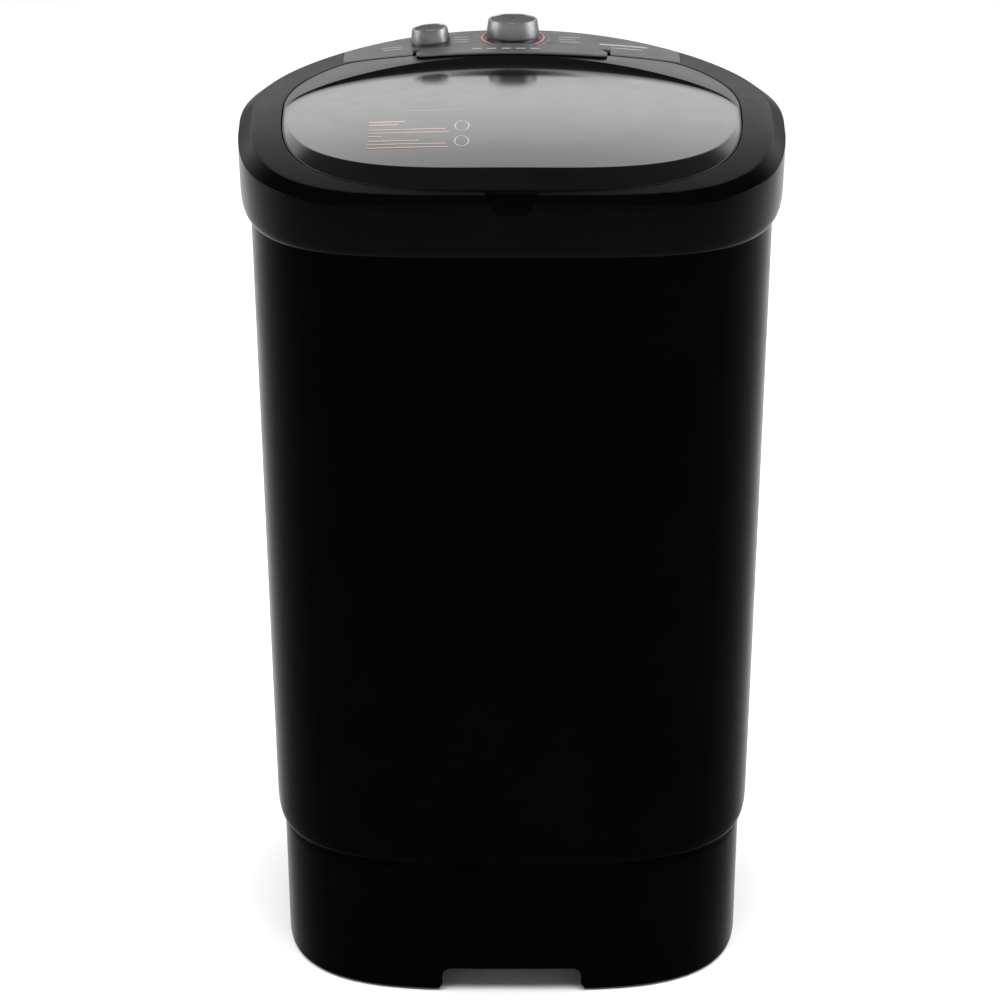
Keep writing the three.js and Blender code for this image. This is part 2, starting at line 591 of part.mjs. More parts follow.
function washTub() {
  const top = 762;
  const ridge = TUB_TOP_HALF + WALL;
  const bend = tubHalf(TUB_FLOOR + 26);
  const shell = ringSolid([
    () => [0, 0, TUB_FLOOR], tubRing(TUB_FLOOR_HALF - 8, TUB_FLOOR),
    tubRing(TUB_FLOOR_HALF + 4, TUB_FLOOR + 5), tubRing(bend, TUB_FLOOR + 26),
    tubRing(TUB_TOP_HALF, top - 14), tubRing(TUB_TOP_HALF, top), tubRing(ridge, top),
    tubRing(ridge, top - 14), tubRing(bend + WALL, TUB_FLOOR + 24),
    tubRing(TUB_FLOOR_HALF + 7, TUB_FLOOR + 2), tubRing(TUB_FLOOR_HALF - 7, TUB_FLOOR - 4),
    () => [0, 0, TUB_FLOOR - 4],
  ], { closed: false });
  const boss = rod(30, TUB_FLOOR - 16, TUB_FLOOR - 2, 0, PULSATOR_Y);
  const drainNeck = rod(23, TUB_FLOOR - 22, TUB_FLOOR - 2, DRAIN_X, DRAIN_Y);
  const shaftHole = rod(22, TUB_FLOOR - 40, TUB_FLOOR + 10, 0, PULSATOR_Y);
  const drainHole = rod(19.4, TUB_FLOOR - 40, TUB_FLOOR + 10, DRAIN_X, DRAIN_Y);
  return cut(join(shell, boss, drainNeck), shaftHole, drainHole);
}

function drainGrille() {
  const disc = rod(19, TUB_FLOOR - 1, TUB_FLOOR + 1.6, DRAIN_X, DRAIN_Y, 18);
  const slots = [-10, -5, 0, 5, 10].map((dy) => {
    const length = 2 * Math.sqrt(15 * 15 - dy * dy);
    return box(length, 2.4, 10, DRAIN_X, DRAIN_Y + dy, TUB_FLOOR);
  });
  return cut(disc, ...slots);
}

// Upright channel on the tub's left wall for the lint filter.
const FILTER_X = -181;
const FILTER_Y = -30;
const FILTER_LOW = 470;
const FILTER_HIGH = 620;

function filterGuide() {
  const height = FILTER_HIGH - FILTER_LOW + 8;
  const middle = (FILTER_LOW + FILTER_HIGH) / 2 - 4;
  const block = box(17, 96, height, FILTER_X - 0.5, FILTER_Y, middle);
  const slot = box(9, 88.8, height, FILTER_X + 0.6, FILTER_Y, middle + 5);
  const mouth = box(20, 72, height - 24, FILTER_X + 6, FILTER_Y, middle);
  const back = box(20, 72, height - 60, FILTER_X - 6, FILTER_Y, middle);
  return cut(block, slot, mouth, back);
}

function filterFrame() {
  const height = FILTER_HIGH - FILTER_LOW;
  const middle = (FILTER_LOW + FILTER_HIGH) / 2;
  const x = FILTER_X + 0.6;
  const plate = box(7.6, 87.6, height - 4, x, FILTER_Y, middle + 1);
  const window = box(20, 66, height - 40, x, FILTER_Y, middle);
  const grip = box(7.6, 50, 16, x, FILTER_Y, FILTER_HIGH + 6);
  return cut(join(plate, grip), window);
}

// Lint net: a shallow pillow behind the frame's window.
function filterNet() {
  const height = FILTER_HIGH - FILTER_LOW - 41;
  const middle = (FILTER_LOW + FILTER_HIGH) / 2;
  return box(3, 65.2, height, FILTER_X + 0.6, FILTER_Y, middle);
}

// ---------------------------------------------------------------- pulsator drive
function pulsator() {
  const base = TUB_FLOOR + 3;
  const disc = turned([
    [10, base], [PULSATOR_RADIUS - 3, base], [PULSATOR_RADIUS, base + 4],
    [PULSATOR_RADIUS - 6, base + 9], [PULSATOR_RADIUS - 40, base + 7], [60, base + 11],
    [34, base + 26], [22, base + 32], [10, base + 32],
    [10, base],
  ], 32);
  const vanes = [0, 1, 2].map((k) => {
    const shape = [[24, base + 5], [PULSATOR_RADIUS - 8, base + 5], [PULSATOR_RADIUS - 14, base + 16],
      [80, base + 22], [34, base + 38], [24, base + 38]];
    return prism(shape, -7, 7).rotate([90, 0, 0]).rotate([0, 0, k * 120 + 90]);
  });
  const bore = rod(SHAFT_RADIUS + 0.3, base - 10, base + 60);
  const hub = rod(16, base + 0.5, base + 30, 0, 0, 24);
  return cut(join(disc, hub, ...vanes), bore).translate([0, PULSATOR_Y, 0]);
}

function pulsatorShaft() {
  const top = TUB_FLOOR + 28;
  return turned([
    [0, BELT_Z - 14], [SHAFT_RADIUS, BELT_Z - 14], [SHAFT_RADIUS, top], [0, top],
  ], 16, 0, PULSATOR_Y);
}

function pulsatorScrew() {
  const seat = TUB_FLOOR + 35.4;
  return turned([
    [0, TUB_FLOOR + 28.4], [4, TUB_FLOOR + 28.4], [4, seat], [12, seat], [11, seat + 4], [0, seat + 5],
  ], 16, 0, PULSATOR_Y);
}

function bearingHousing() {
  const top = TUB_FLOOR - 0.6;
  const flange = TUB_FLOOR - 16.4;
  return turned([
    [10.4, top - 46], [16, top - 46], [16, flange - 4], [44, flange - 4], [44, flange],
    [21.6, flange], [21.6, top], [17.4, top], [17.4, top - 8], [10.4, top - 8], [10.4, top - 46],
  ], 16, 0, PULSATOR_Y);
}

function bush(low, high) {
  return turned([
    [SHAFT_RADIUS + 0.25, low], [10, low], [10, high], [SHAFT_RADIUS + 0.25, high],
    [SHAFT_RADIUS + 0.25, low],
  ], 16, 0, PULSATOR_Y);
}

function shaftSeal() {
  const low = TUB_FLOOR - 8.2;
  return turned([
    [SHAFT_RADIUS + 0.25, low], [17, low], [17, low + 7], [9, low + 7], [SHAFT_RADIUS + 0.25, low + 4],
    [SHAFT_RADIUS + 0.25, low],
  ], 16, 0, PULSATOR_Y);
}

// V-belt pulley: the groove is centred on the belt's height.
function pulley(radius, bore, hub, x, y, segments, spokes) {
  const groove = radius - 7;
  const web = Math.max(hub, groove - 8);
  const profile = spokes
    ? [[bore, -12], [hub, -12], [hub, -4], [web, -3], [web, -7], [radius, -7], [groove, -4.2],
      [groove, 4.2], [radius, 7], [web, 7], [web, 2], [hub, 2], [hub, 8], [bore, 8], [bore, -12]]
    : [[bore, -10], [hub, -10], [hub, -7], [radius, -7], [groove, -4.2], [groove, 4.2],
      [radius, 7], [hub, 7], [hub, 9], [bore, 9], [bore, -10]];
  const wheel = turned(profile, segments);
  const holes = [];
  for (let k = 0; k < spokes; k++) {
    const angle = (k / spokes) * 2 * Math.PI;
    holes.push(rod(14, -10, 10, Math.cos(angle) * 48, Math.sin(angle) * 48, 10));
  }
  return cut(wheel, ...holes).translate([x, y, BELT_Z]);
}

// Belt around both pulleys: two arcs joined by the common tangents.
function driveBelt() {
  const dx = MOTOR_X;
  const dy = MOTOR_Y - PULSATOR_Y;
  const distance = Math.hypot(dx, dy);
  const direction = Math.atan2(dy, dx);
  const loop = (offset) => {
    const big = DRIVEN_RADIUS - 7 + offset;
    const small = MOTOR_PULLEY_RADIUS - 7 + offset;
    const lean = Math.acos((big - small) / distance);
    const points = [];
    for (let i = 0; i <= 28; i++) {
      const angle = direction + lean + ((2 * Math.PI - 2 * lean) * i) / 28;
      points.push([big * Math.cos(angle), PULSATOR_Y + big * Math.sin(angle)]);
    }
    for (let i = 0; i <= 10; i++) {
      const angle = direction - lean + ((2 * lean) * i) / 10;
      points.push([dx + small * Math.cos(angle), MOTOR_Y + small * Math.sin(angle)]);
    }
    return points;
  };
  return prism(loop(5.5), BELT_Z - 3.6, BELT_Z + 3.6, [loop(0.6)]);
}

// ---------------------------------------------------------------- motor
const PLATE_Z = 78;
const GROMMET_SPREAD = 58;

function boltPlaces() {
  return [[-1, -1], [1, -1], [-1, 1], [1, 1]].map(([sx, sy]) =>
    [MOTOR_X - 8 + sx * GROMMET_SPREAD * 0.9, MOTOR_Y - 8 + sy * GROMMET_SPREAD * 0.75]);
}

function motorPlate() {
  const plate = box(136, 118, 3, MOTOR_X - 8, MOTOR_Y - 8, PLATE_Z);
  const holes = boltPlaces().map(([x, y]) => rod(4.6, 70, 90, x, y, 12));
  return cut(plate, ...holes, rod(12, 70, 90, MOTOR_X, MOTOR_Y, 20));
}

function grommet() {
  const low = DECK + GAP;
  const high = PLATE_Z - 1.5 - GAP;
  return turned([[4.2, low], [11, low], [12, (low + high) / 2], [11, high], [4.2, high], [4.2, low]], 12);
}

function motorBolt() {
  const top = PLATE_Z + 1.5 + GAP;
  return turned([
    [0, DECK + 2.4], [3.6, DECK + 2.4], [3.6, top], [7.5, top], [7.5, top + 5], [0, top + 6],
  ], 8);
}

function motorShield(low, high, inner) {
  const outer = 52;
  return turned([
    [9, low], [outer - 12, low], [outer, inner], [outer, high], [outer - 4, high],
    [outer - 5, inner], [outer - 14, low + 4], [9, low + 4], [9, low],
  ], 20, MOTOR_X, MOTOR_Y);
}

function upperShield() {
  const middle = 147;
  return motorShield(84, 111.4, 98).mirror([0, 0, 1]).translate([0, 0, 2 * middle]);
}

function motorStator() {
  const ring = turned([[37, 112], [53, 112], [53, 182], [37, 182], [37, 112]], 24, MOTOR_X, MOTOR_Y);
  const coil = turned([[38, 100], [47, 100], [47, 194], [38, 194], [38, 100]], 20, MOTOR_X, MOTOR_Y);
  return join(ring, coil);
}

function motorRotor() {
  return turned([[8.4, 108], [36, 108], [36, 186], [8.4, 186], [8.4, 108]], 20, MOTOR_X, MOTOR_Y);
}

function motorShaft() {
  return turned([
    [0, 90], [6, 90], [6, 106], [8, 106], [8, 188], [6, 188], [6, BELT_Z + 8], [0, BELT_Z + 8],
  ], 20, MOTOR_X, MOTOR_Y);
}

function capacitor() {
  return turned([
    [0, DECK + 2], [20, DECK + 2], [20, DECK + 66], [18, DECK + 68], [4, DECK + 68], [4, DECK + 74],
    [0, DECK + 74],
  ], 24, -110, -70);
}

function capacitorClamp() {
  const band = turned([
    [20.4, DECK + 24], [22, DECK + 24], [22, DECK + 38], [20.4, DECK + 38], [20.4, DECK + 24],
  ], 24, -110, -70);
  const leg = box(1.6, 16, 38 - GAP, -110 + 22.2, -70, DECK + GAP + (38 - GAP) / 2);
  const pad = box(18, 16, 1.6, -110 + 31, -70, DECK + GAP + 0.8);
  return join(band, leg, pad);
}

// ---------------------------------------------------------------- drain and wiring
const HOSE_RADIUS = 11;
const HOSE_START = [DRAIN_X, DRAIN_Y + 54, TUB_FLOOR - 52];

function drainElbow() {
  const cup = turned([
    [0, TUB_FLOOR - 66], [18, TUB_FLOOR - 66], [25.6, TUB_FLOOR - 60], [25.6, TUB_FLOOR - 6],
    [23.4, TUB_FLOOR - 6], [23.4, TUB_FLOOR - 58], [16, TUB_FLOOR - 63], [0, TUB_FLOOR - 63],
  ], 18, DRAIN_X, DRAIN_Y);
  const neck = rodAlongY(10.6, DRAIN_Y + 20, HOSE_START[1] + 14, DRAIN_X, HOSE_START[2]);
  const bore = rodAlongY(8.4, DRAIN_Y, HOSE_START[1] + 20, DRAIN_X, HOSE_START[2]);
  return cut(join(cup, neck), bore);
}

function drainHose() {
  const [x, y, z] = HOSE_START;
  const route = [
    [x, y + 14.6, z], [x, y + 22, z], [x + 4, y + 36, z - 10], [-92, 164, z - 52], [-40, 162, 188],
    [14, 158, 152], [54, 154, 116], [SPIGOT_X, 160, SPIGOT_Z + 2], [SPIGOT_X, 172, SPIGOT_Z],
    [SPIGOT_X, 179, SPIGOT_Z], [SPIGOT_X, 186, SPIGOT_Z],
  ];
  return tube(route, HOSE_RADIUS, 32);
}

function outletSpigot() {
  const start = 186.6;
  const barrel = rodAlongY(12, start, 236, SPIGOT_X, SPIGOT_Z);
  const collar = rodAlongY(17, 211.5, 215, SPIGOT_X, SPIGOT_Z);
  const barb = rodAlongY(13.2, 228, 231, SPIGOT_X, SPIGOT_Z);
  const bore = rodAlongY(9, start - 5, 240, SPIGOT_X, SPIGOT_Z);
  return cut(join(barrel, collar, barb), bore);
}

function cordGland() {
  const barrel = rodAlongY(8, 196, 226, GLAND_X, SPIGOT_Z);
  const flange = rodAlongY(12, 211.5, 216, GLAND_X, SPIGOT_Z);
  const bore = rodAlongY(4, 190, 230, GLAND_X, SPIGOT_Z);
  return cut(join(barrel, flange), bore);
}

// Harness from the timer down the rear right side to the motor.
function wiringHarness() {
  return tube([
    [16, 200, 772], [30, 200, 752], [66, 192, 680], [96, 184, 560], [112, 178, 400],
    [120, 174, 280], [122, 168, 200], [116, 152, 162], [MOTOR_X, 140, 148],
    [MOTOR_X, MOTOR_Y + 53.6, 147],
  ], 5, 36);
}

// ---------------------------------------------------------------- assembly
const machine = new THREE.Group();

function add(name, shape, material, parent = machine) {
  const geometry = shape.isBufferGeometry ? shape : toGeometry(shape);
  geometry.computeVertexNormals();
  const mesh = new THREE.Mesh(geometry, material);
  mesh.name = name;
  parent.add(mesh);
  return mesh;
}

add('base', basePiece(), BODY_BLACK);
['front_left', 'front_right', 'rear_left', 'rear_right'].forEach((corner, i) => {
  const [x, y] = feetPlaces()[i];
  add(`foot_${corner}`, foot(), RUBBER).position.set(x, y, 0);
});
add('cabinet', cabinetPiece(), BODY_BLACK);
add('service_cover', serviceCover(), DARK_PLASTIC);
screwPlaces().forEach(([x, z], i) => {
  const { y, turn } = screwPose(x, z);
  const screw = add(`cover_screw_${i + 1}`, coverScrew(), STEEL);
  screw.position.set(x, y, z);
  screw.rotation.set(-Math.PI / 2, 0, THREE.MathUtils.degToRad(turn), 'ZXY');
});
add('top_frame', topFramePiece(), FRAME_GREY);
add('console_panel', consolePiece(), CONSOLE_GREY);
add('hinge_pin_left', hingePin(-1), STEEL);
add('hinge_pin_right', hingePin(1), STEEL);
add('wash_tub', washTub(), TUB_GREY);
add('drain_grille', drainGrille(), DARK_PLASTIC);
add('filter_guide', filterGuide(), WHITE_PLASTIC);

const timerGroup = new THREE.Group();
timerGroup.applyMatrix4(timerPose());
machine.add(timerGroup);
add('timer_unit', rotaryUnit(52, 32, 28, 2, 5), WHITE_PLASTIC, timerGroup);
add('timer_knob', knob(TIMER_RADIUS, TIMER_HEIGHT), KNOB_SILVER, timerGroup);
add('timer_shaft', knobShaft(26, 1.2), STEEL, timerGroup);

const selectorGroup = new THREE.Group();
selectorGroup.applyMatrix4(selectorPose());
machine.add(selectorGroup);
add('selector_switch', rotaryUnit(32, 20, 22, 5.5, 3), WHITE_PLASTIC, selectorGroup);
add('selector_knob', knob(SELECTOR_RADIUS, SELECTOR_HEIGHT), KNOB_SILVER, selectorGroup);
add('selector_shaft', knobShaft(20, 1.2), STEEL, selectorGroup);

add('lid', lidPiece(), SMOKED);
add('hinge_cover', hingeCover(), CONSOLE_GREY);
add('filter_frame', filterFrame(), WHITE_PLASTIC);
add('filter_net', filterNet(), WHITE_PLASTIC);

add('pulsator', pulsator(), WHITE_PLASTIC);
add('pulsator_shaft', pulsatorShaft(), STEEL);
add('pulsator_screw', pulsatorScrew(), STEEL);
add('driven_pulley', pulley(DRIVEN_RADIUS, SHAFT_RADIUS + 0.3, 16, 0, PULSATOR_Y, 28, 4), DARK_PLASTIC);
add('bearing_housing', bearingHousing(), DARK_PLASTIC);
add('lower_bush', bush(TUB_FLOOR - 46, TUB_FLOOR - 32), COPPER);
add('upper_bush', bush(TUB_FLOOR - 24, TUB_FLOOR - 10), COPPER);
add('shaft_seal', shaftSeal(), RUBBER);
add('drive_belt', driveBelt(), RUBBER);
add('motor_pulley', pulley(MOTOR_PULLEY_RADIUS, 6.3, 12, MOTOR_X, MOTOR_Y, 16, 0), STEEL);
add('motor_shaft', motorShaft(), STEEL);
add('motor_rotor', motorRotor(), MOTOR_GREY);
add('motor_stator', motorStator(), COPPER);
add('motor_lower_shield', motorShield(84, 111.4, 98), MOTOR_GREY);
add('motor_upper_shield', upperShield(), MOTOR_GREY);
add('motor_plate', motorPlate(), STEEL);
boltPlaces().forEach(([x, y], i) => {
  add(`motor_grommet_${i + 1}`, grommet(), RUBBER).position.set(x, y, 0);
  add(`motor_bolt_${i + 1}`, motorBolt(), STEEL).position.set(x, y, 0);
});
add('capacitor', capacitor(), WHITE_PLASTIC);
add('capacitor_clamp', capacitorClamp(), STEEL);
add('drain_elbow', drainElbow(), DARK_PLASTIC);
add('drain_hose', drainHose(), DARK_PLASTIC);
add('outlet_spigot', outletSpigot(), DARK_PLASTIC);
add('cord_gland', cordGland(), RUBBER);
add('wiring_harness', wiringHarness(), RUBBER);

export default machine;
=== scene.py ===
"""Looks for the semi-automatic single-tub washing machine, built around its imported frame.

Lengths in the shape functions are millimetres, in the frame's own axes; meshes are made in metres.
"""
import json
import math

import bmesh
import bpy
import numpy as np
from mathutils import Euler, Matrix, Vector


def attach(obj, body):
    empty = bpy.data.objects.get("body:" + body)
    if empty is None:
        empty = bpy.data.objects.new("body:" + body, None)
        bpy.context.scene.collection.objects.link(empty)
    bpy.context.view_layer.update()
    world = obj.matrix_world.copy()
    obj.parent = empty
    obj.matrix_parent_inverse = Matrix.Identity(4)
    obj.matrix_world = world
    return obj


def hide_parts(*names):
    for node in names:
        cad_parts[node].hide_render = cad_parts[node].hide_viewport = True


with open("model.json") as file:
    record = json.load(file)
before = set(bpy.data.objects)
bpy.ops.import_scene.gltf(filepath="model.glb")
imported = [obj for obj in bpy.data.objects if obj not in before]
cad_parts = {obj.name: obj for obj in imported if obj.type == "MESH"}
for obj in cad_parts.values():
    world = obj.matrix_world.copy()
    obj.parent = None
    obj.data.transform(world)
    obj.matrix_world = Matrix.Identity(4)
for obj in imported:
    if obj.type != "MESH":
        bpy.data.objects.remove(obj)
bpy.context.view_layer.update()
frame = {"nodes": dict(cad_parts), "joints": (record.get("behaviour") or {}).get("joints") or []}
MM = 0.001
TAU = 2 * math.pi

# ---------------------------------------------------------------- driving dimensions, as in the frame
HALF_WIDTH = 253.5
DEPTH_RATIO = 0.9467
RIM_FRONT = -HALF_WIDTH * DEPTH_RATIO
RIM = 802
CROWN_RISE = 23
CROWN_DROP = 30
SKIRT_BOTTOM = 741
SEAM = 137
CHAMFER_LOW = RIM - 7.6
CHAMFER_HALF = HALF_WIDTH - 12
SEAM_FRONT_POWER, RIM_FRONT_POWER, REAR_POWER, RIM_TAPER = 3.44, 4.8, 2.35, 0.11
WALL = 3
CABINET_TOP, CABINET_TOP_HALF = 776, 244
CABINET_SKIRT_HALF, CABINET_SEAM_HALF = 243, 227.6
BASE_TOP_HALF, BASE_BOTTOM_HALF = 221.4, 219.2
SKIRT_LIP = 244.3
FLOOR_CLEARANCE = 2
DECK = 60
OPENING_HALF, OPENING_FRONT, OPENING_SIDE_REAR = 213.5, 215, 191
OPENING_POWER, OPENING_TAPER = 4, 0.09
LEDGE_DROP = 7
COLLAR_BOTTOM = 748
CONSOLE_FRONT, CONSOLE_BOW, CONSOLE_HALF = 154, 2560, 162
HINGE_Y, HINGE_Z = 160, 817
TAB_HALF, TAB_SWING = 92, 169.5
TUB_FLOOR, TUB_TOP_HALF, TUB_FLOOR_HALF = 338, 218.2, 176
SERVICE_HALF, SERVICE_HEIGHT, SERVICE_Z = 88, 240, 330
LID_HALF = OPENING_HALF - 1
CREASE_HALF, CREASE_FRONT, CREASE_REAR, CREASE_TAPER = 208, 194, 129, 0.12   # top of the lid's bevel
CREASE_FRONT_POWER, CREASE_REAR_POWER = 3.4, 2
STRIP_HALF, STRIP_FRONT, STRIP_REAR, STRIP_REAR_POWER = 210.8, 212, 141, 1.85   # foot of the bevel
TIMER_X, TIMER_Y, TIMER_RADIUS, TIMER_HEIGHT = 1, 202, 25.8, 17
SELECTOR_RADIUS, SELECTOR_HEIGHT = 19.1, 14
PULSATOR_Y, PULSATOR_RADIUS, PULSATOR_HUB = -28, 132, 10.5
DRAIN_X, DRAIN_Y = -118, 62
FILTER_X, FILTER_Y, FILTER_LOW, FILTER_HIGH = -181, -30, 470, 620
FEET = [(-152, -160), (152, -160), (-140, 140), (140, 140)]
REARWARD = (-90, 0, 0)                                # turn that lays an upright piece along +Y
SPIGOT_X, GLAND_X, OUTLET_Z = 70, -70, 92
CUTOUT_HALF, CUTOUT_CORNER, CUTOUT_LIP = 66, 8, 3     # low opening in the base's front
GROOVE_HALF, GROOVE_DEPTH = 14, 2                     # shallow groove down the cabinet's front
SHELL_SIDES = 288


# ---------------------------------------------------------------- outlines and surfaces
def signed_power(value, power):
    return np.sign(value) * np.abs(value) ** power


def outline(angle, half, front, rear, front_power, rear_power, taper=0.0):
    """Rounded four-sided outline: one exponent squares the front, another rounds the rear."""
    c, s = np.cos(angle), np.sin(angle)
    power = np.where(s < 0, front_power, rear_power)
    y = np.where(s < 0, front, rear) * signed_power(s, 2 / power)
    narrowed = half * (1 - taper * np.clip(-y / front, 0, 1) ** 2)
    return narrowed * signed_power(c, 2 / power), y


def crown(x, y):
    """Height of the rim's top surface above its front edge."""
    t = np.clip((y + HALF_WIDTH * DEPTH_RATIO) / (2 * HALF_WIDTH * DEPTH_RATIO), 0, 1)
    return CROWN_RISE * (1 - (1 - t) ** 2) - CROWN_DROP * t**1.8 * (x / HALF_WIDTH) ** 2


def angles(count=SHELL_SIDES):
    return np.arange(count) / count * TAU


def body_ring(half, z, count=SHELL_SIDES):
    """A ring of the cabinet's outline. Above the skirt's edge it rises with the crown."""
    share = np.clip((z - SEAM) / (CHAMFER_LOW - SEAM), 0, 1)
    power = SEAM_FRONT_POWER + (RIM_FRONT_POWER - SEAM_FRONT_POWER) * share
    rise = np.clip((z - SKIRT_BOTTOM) / (CHAMFER_LOW - SKIRT_BOTTOM), 0, 1)
    depth = half * DEPTH_RATIO
    x, y = outline(angles(count), half, depth, depth, power, REAR_POWER, share * RIM_TAPER)
    return np.stack([x, y, z + rise * crown(x, y)], -1)


def console_front(x):
    return CONSOLE_FRONT - x * x / CONSOLE_BOW


def opening_xy(half, count=SHELL_SIDES):
    """The lid opening's outline, its rear limited by the console's front edge."""
    x, side = outline(angles(count), OPENING_HALF, OPENING_FRONT, OPENING_SIDE_REAR, OPENING_POWER,
                      REAR_POWER, OPENING_TAPER)
    softness = 4
    rear = -softness * np.log(np.exp(-side / softness) + np.exp(-console_front(x) / softness))
    scale = half / OPENING_HALF
    return x * scale, rear * scale


def opening_ring(half, height, count=SHELL_SIDES):
    """A ring of that outline, at a height measured from the crowned rim surface."""
    x, y = opening_xy(half, count)
    return np.stack([x, y, RIM + crown(x, y) + height], -1)


def tub_ring(half, z, count=SHELL_SIDES):
    x, y = opening_xy(half, count)
    return np.stack([x, y, np.full_like(x, z)], -1)


def cabinet_half(z):
    return CABINET_SEAM_HALF + (z - SEAM) / (SKIRT_BOTTOM - SEAM) * (CABINET_SKIRT_HALF - CABINET_SEAM_HALF)


def base_half(z):
    return BASE_BOTTOM_HALF + z / SEAM * (BASE_TOP_HALF - BASE_BOTTOM_HALF)


def tub_half(z):
    low = TUB_FLOOR + 26
    return TUB_FLOOR_HALF + 14 + (z - low) / (760 - low) * (TUB_TOP_HALF - TUB_FLOOR_HALF - 14)


def rear_wall(x, half):
    return half * DEPTH_RATIO * (1 - np.abs(x / half) ** REAR_POWER) ** (1 / REAR_POWER)


# ---------------------------------------------------------------- mesh helpers
def shown(name, mesh):
    """A new object in the scene for a mesh."""
    piece = bpy.data.objects.new(name, mesh)
    bpy.context.scene.collection.objects.link(piece)
    return piece


def from_work(name, work):
    """A new object from a finished working mesh."""
    mesh = bpy.data.meshes.new(name)
    work.to_mesh(mesh)
    work.free()
    return shown(name, mesh)


def mesh_object(name, vertices, faces, sharp_angle=38):
    """A mesh from millimetre points, welded, facing outwards, smooth up to an edge angle."""
    mesh = bpy.data.meshes.new(name)
    mesh.from_pydata([tuple(v) for v in np.asarray(vertices, float) * MM], [], faces)
    piece = shown(name, mesh)
    tidy_mesh(piece, sharp_angle)
    return piece


def tidy_mesh(piece, sharp_angle=38, weld=1e-6):
    """Welds a mesh, turns its faces outwards and keeps only edges over an angle sharp."""
    mesh = piece.data
    work = bmesh.new()
    work.from_mesh(mesh)
    bmesh.ops.remove_doubles(work, verts=work.verts, dist=weld)
    bmesh.ops.dissolve_degenerate(work, edges=work.edges, dist=weld)
    bmesh.ops.recalc_face_normals(work, faces=work.faces)
    limit = math.radians(sharp_angle)
    for edge in work.edges:
        edge.smooth = len(edge.link_faces) == 2 and edge.calc_face_angle(0) < limit
    for face in work.faces:
        face.smooth = True
    work.to_mesh(mesh)
    work.free()
    mesh.update()


def ring_piece(name, rings, closed=True, **options):
    """Skin over rings of points. closed joins the last ring to the first; otherwise ends are capped."""
    rings = np.asarray(rings, float)
    count, sides = rings.shape[:2]
    vertices = list(rings.reshape(-1, 3))
    faces = []
    for k in range(count if closed else count - 1):
        a, b = k * sides, (k + 1) % count * sides
        for i in range(sides):
            j = (i + 1) % sides
            faces.append((a + i, a + j, b + j, b + i))
    if not closed:
        for ring, start in ((rings[0], 0), (rings[-1], (count - 1) * sides)):
            vertices.append(ring.mean(0))
            hub = len(vertices) - 1
            faces += [(start + i, start + (i + 1) % sides, hub) for i in range(sides)]
    return mesh_object(name, vertices, faces, **options)


def corner(before, at, after, radius, steps):
    """Points that round one corner of a profile; radius may vary round the piece."""
    before, at, after = (np.asarray(p, float) for p in (before, at, after))
    radius = np.asarray(radius, float)[..., None]
    inward, outward = before - at, after - at
    length_in = np.linalg.norm(inward, axis=-1, keepdims=True)
    length_out = np.linalg.norm(outward, axis=-1, keepdims=True)
    reach_in = np.minimum(radius, 0.49 * length_in) / length_in
    reach_out = np.minimum(radius, 0.49 * length_out) / length_out
    start, end = at + inward * reach_in, at + outward * reach_out
    points = []
    for t in np.linspace(0, 1, steps + 1):
        points.append((1 - t) ** 2 * start + 2 * t * (1 - t) * at + t**2 * end)
    return points


def softened(points, radii, closed=True, steps=4):
    """A profile of points, or of whole rings, with rounded corners."""
    result = []
    last = len(points) - 1
    for i, (point, radius) in enumerate(zip(points, radii)):
        if np.max(radius) <= 0 or (not closed and i in (0, last)):
            result.append(np.asarray(point, float))
            continue
        result += corner(points[i - 1], point, points[(i + 1) % len(points)], radius, steps)
    return result


def body_loft(name, profile, sides=SHELL_SIDES, **options):
    """Loft along the cabinet's outline of a closed profile of (half width, z, corner radius)."""
    flat = softened([p[:2] for p in profile], [p[2] for p in profile])
    return ring_piece(name, [body_ring(half, z, sides) for half, z in flat], **options)


def turned(name, profile, sides=64, place=None, **options):
    """Turned piece from (radius, z, corner radius); ends on the axis or closes on itself."""
    open_ended = profile[0][0] == 0 and profile[-1][0] == 0
    flat = softened([p[:2] for p in profile], [p[2] for p in profile], closed=not open_ended, steps=3)
    angle = angles(sides)
    rings = [np.stack([r * np.cos(angle), r * np.sin(angle), np.full(sides, z)], -1) for r, z in flat]
    piece = ring_piece(name, rings, closed=not open_ended, **options)
    if place is not None:
        piece.data.transform(place)
    return piece


def rod(name, radius, low, high, place, sides=48, rounding=0):
    """Upright round bar, or the cutter of a round hole."""
    profile = [(0, low, 0), (radius, low, rounding), (radius, high, rounding), (0, high, 0)]
    return turned(name, profile, sides, place)


def rod_along_x(name, radius, start, end, rounding=0):
    """Round bar on the hinge's axis."""
    return rod(name, radius, start, end, at(0, HINGE_Y, HINGE_Z, (0, 90, 0)), 32, rounding)


def at(x, y, z=0, turn=(0, 0, 0)):
    """Matrix of a place in millimetres and a turn in degrees."""
    rotation = Euler([math.radians(a) for a in turn]).to_matrix().to_4x4()
    return Matrix.Translation(Vector((x, y, z)) * MM) @ rotation


def block(name, size, centre, bevel=0, segments=3, place=None):
    """Box with rounded edges."""
    work = bmesh.new()
    bmesh.ops.create_cube(work, size=1)
    for vertex in work.verts:
        vertex.co = Vector([c * s + o for c, s, o in zip(vertex.co, size, centre)]) * MM
    if bevel:
        bmesh.ops.bevel(work, geom=work.edges[:], offset=bevel * MM, segments=segments, profile=0.5,
                        affect="EDGES", clamp_overlap=True)
    piece = from_work(name, work)
    if place is not None:
        piece.data.transform(place)
    tidy_mesh(piece)
    return piece


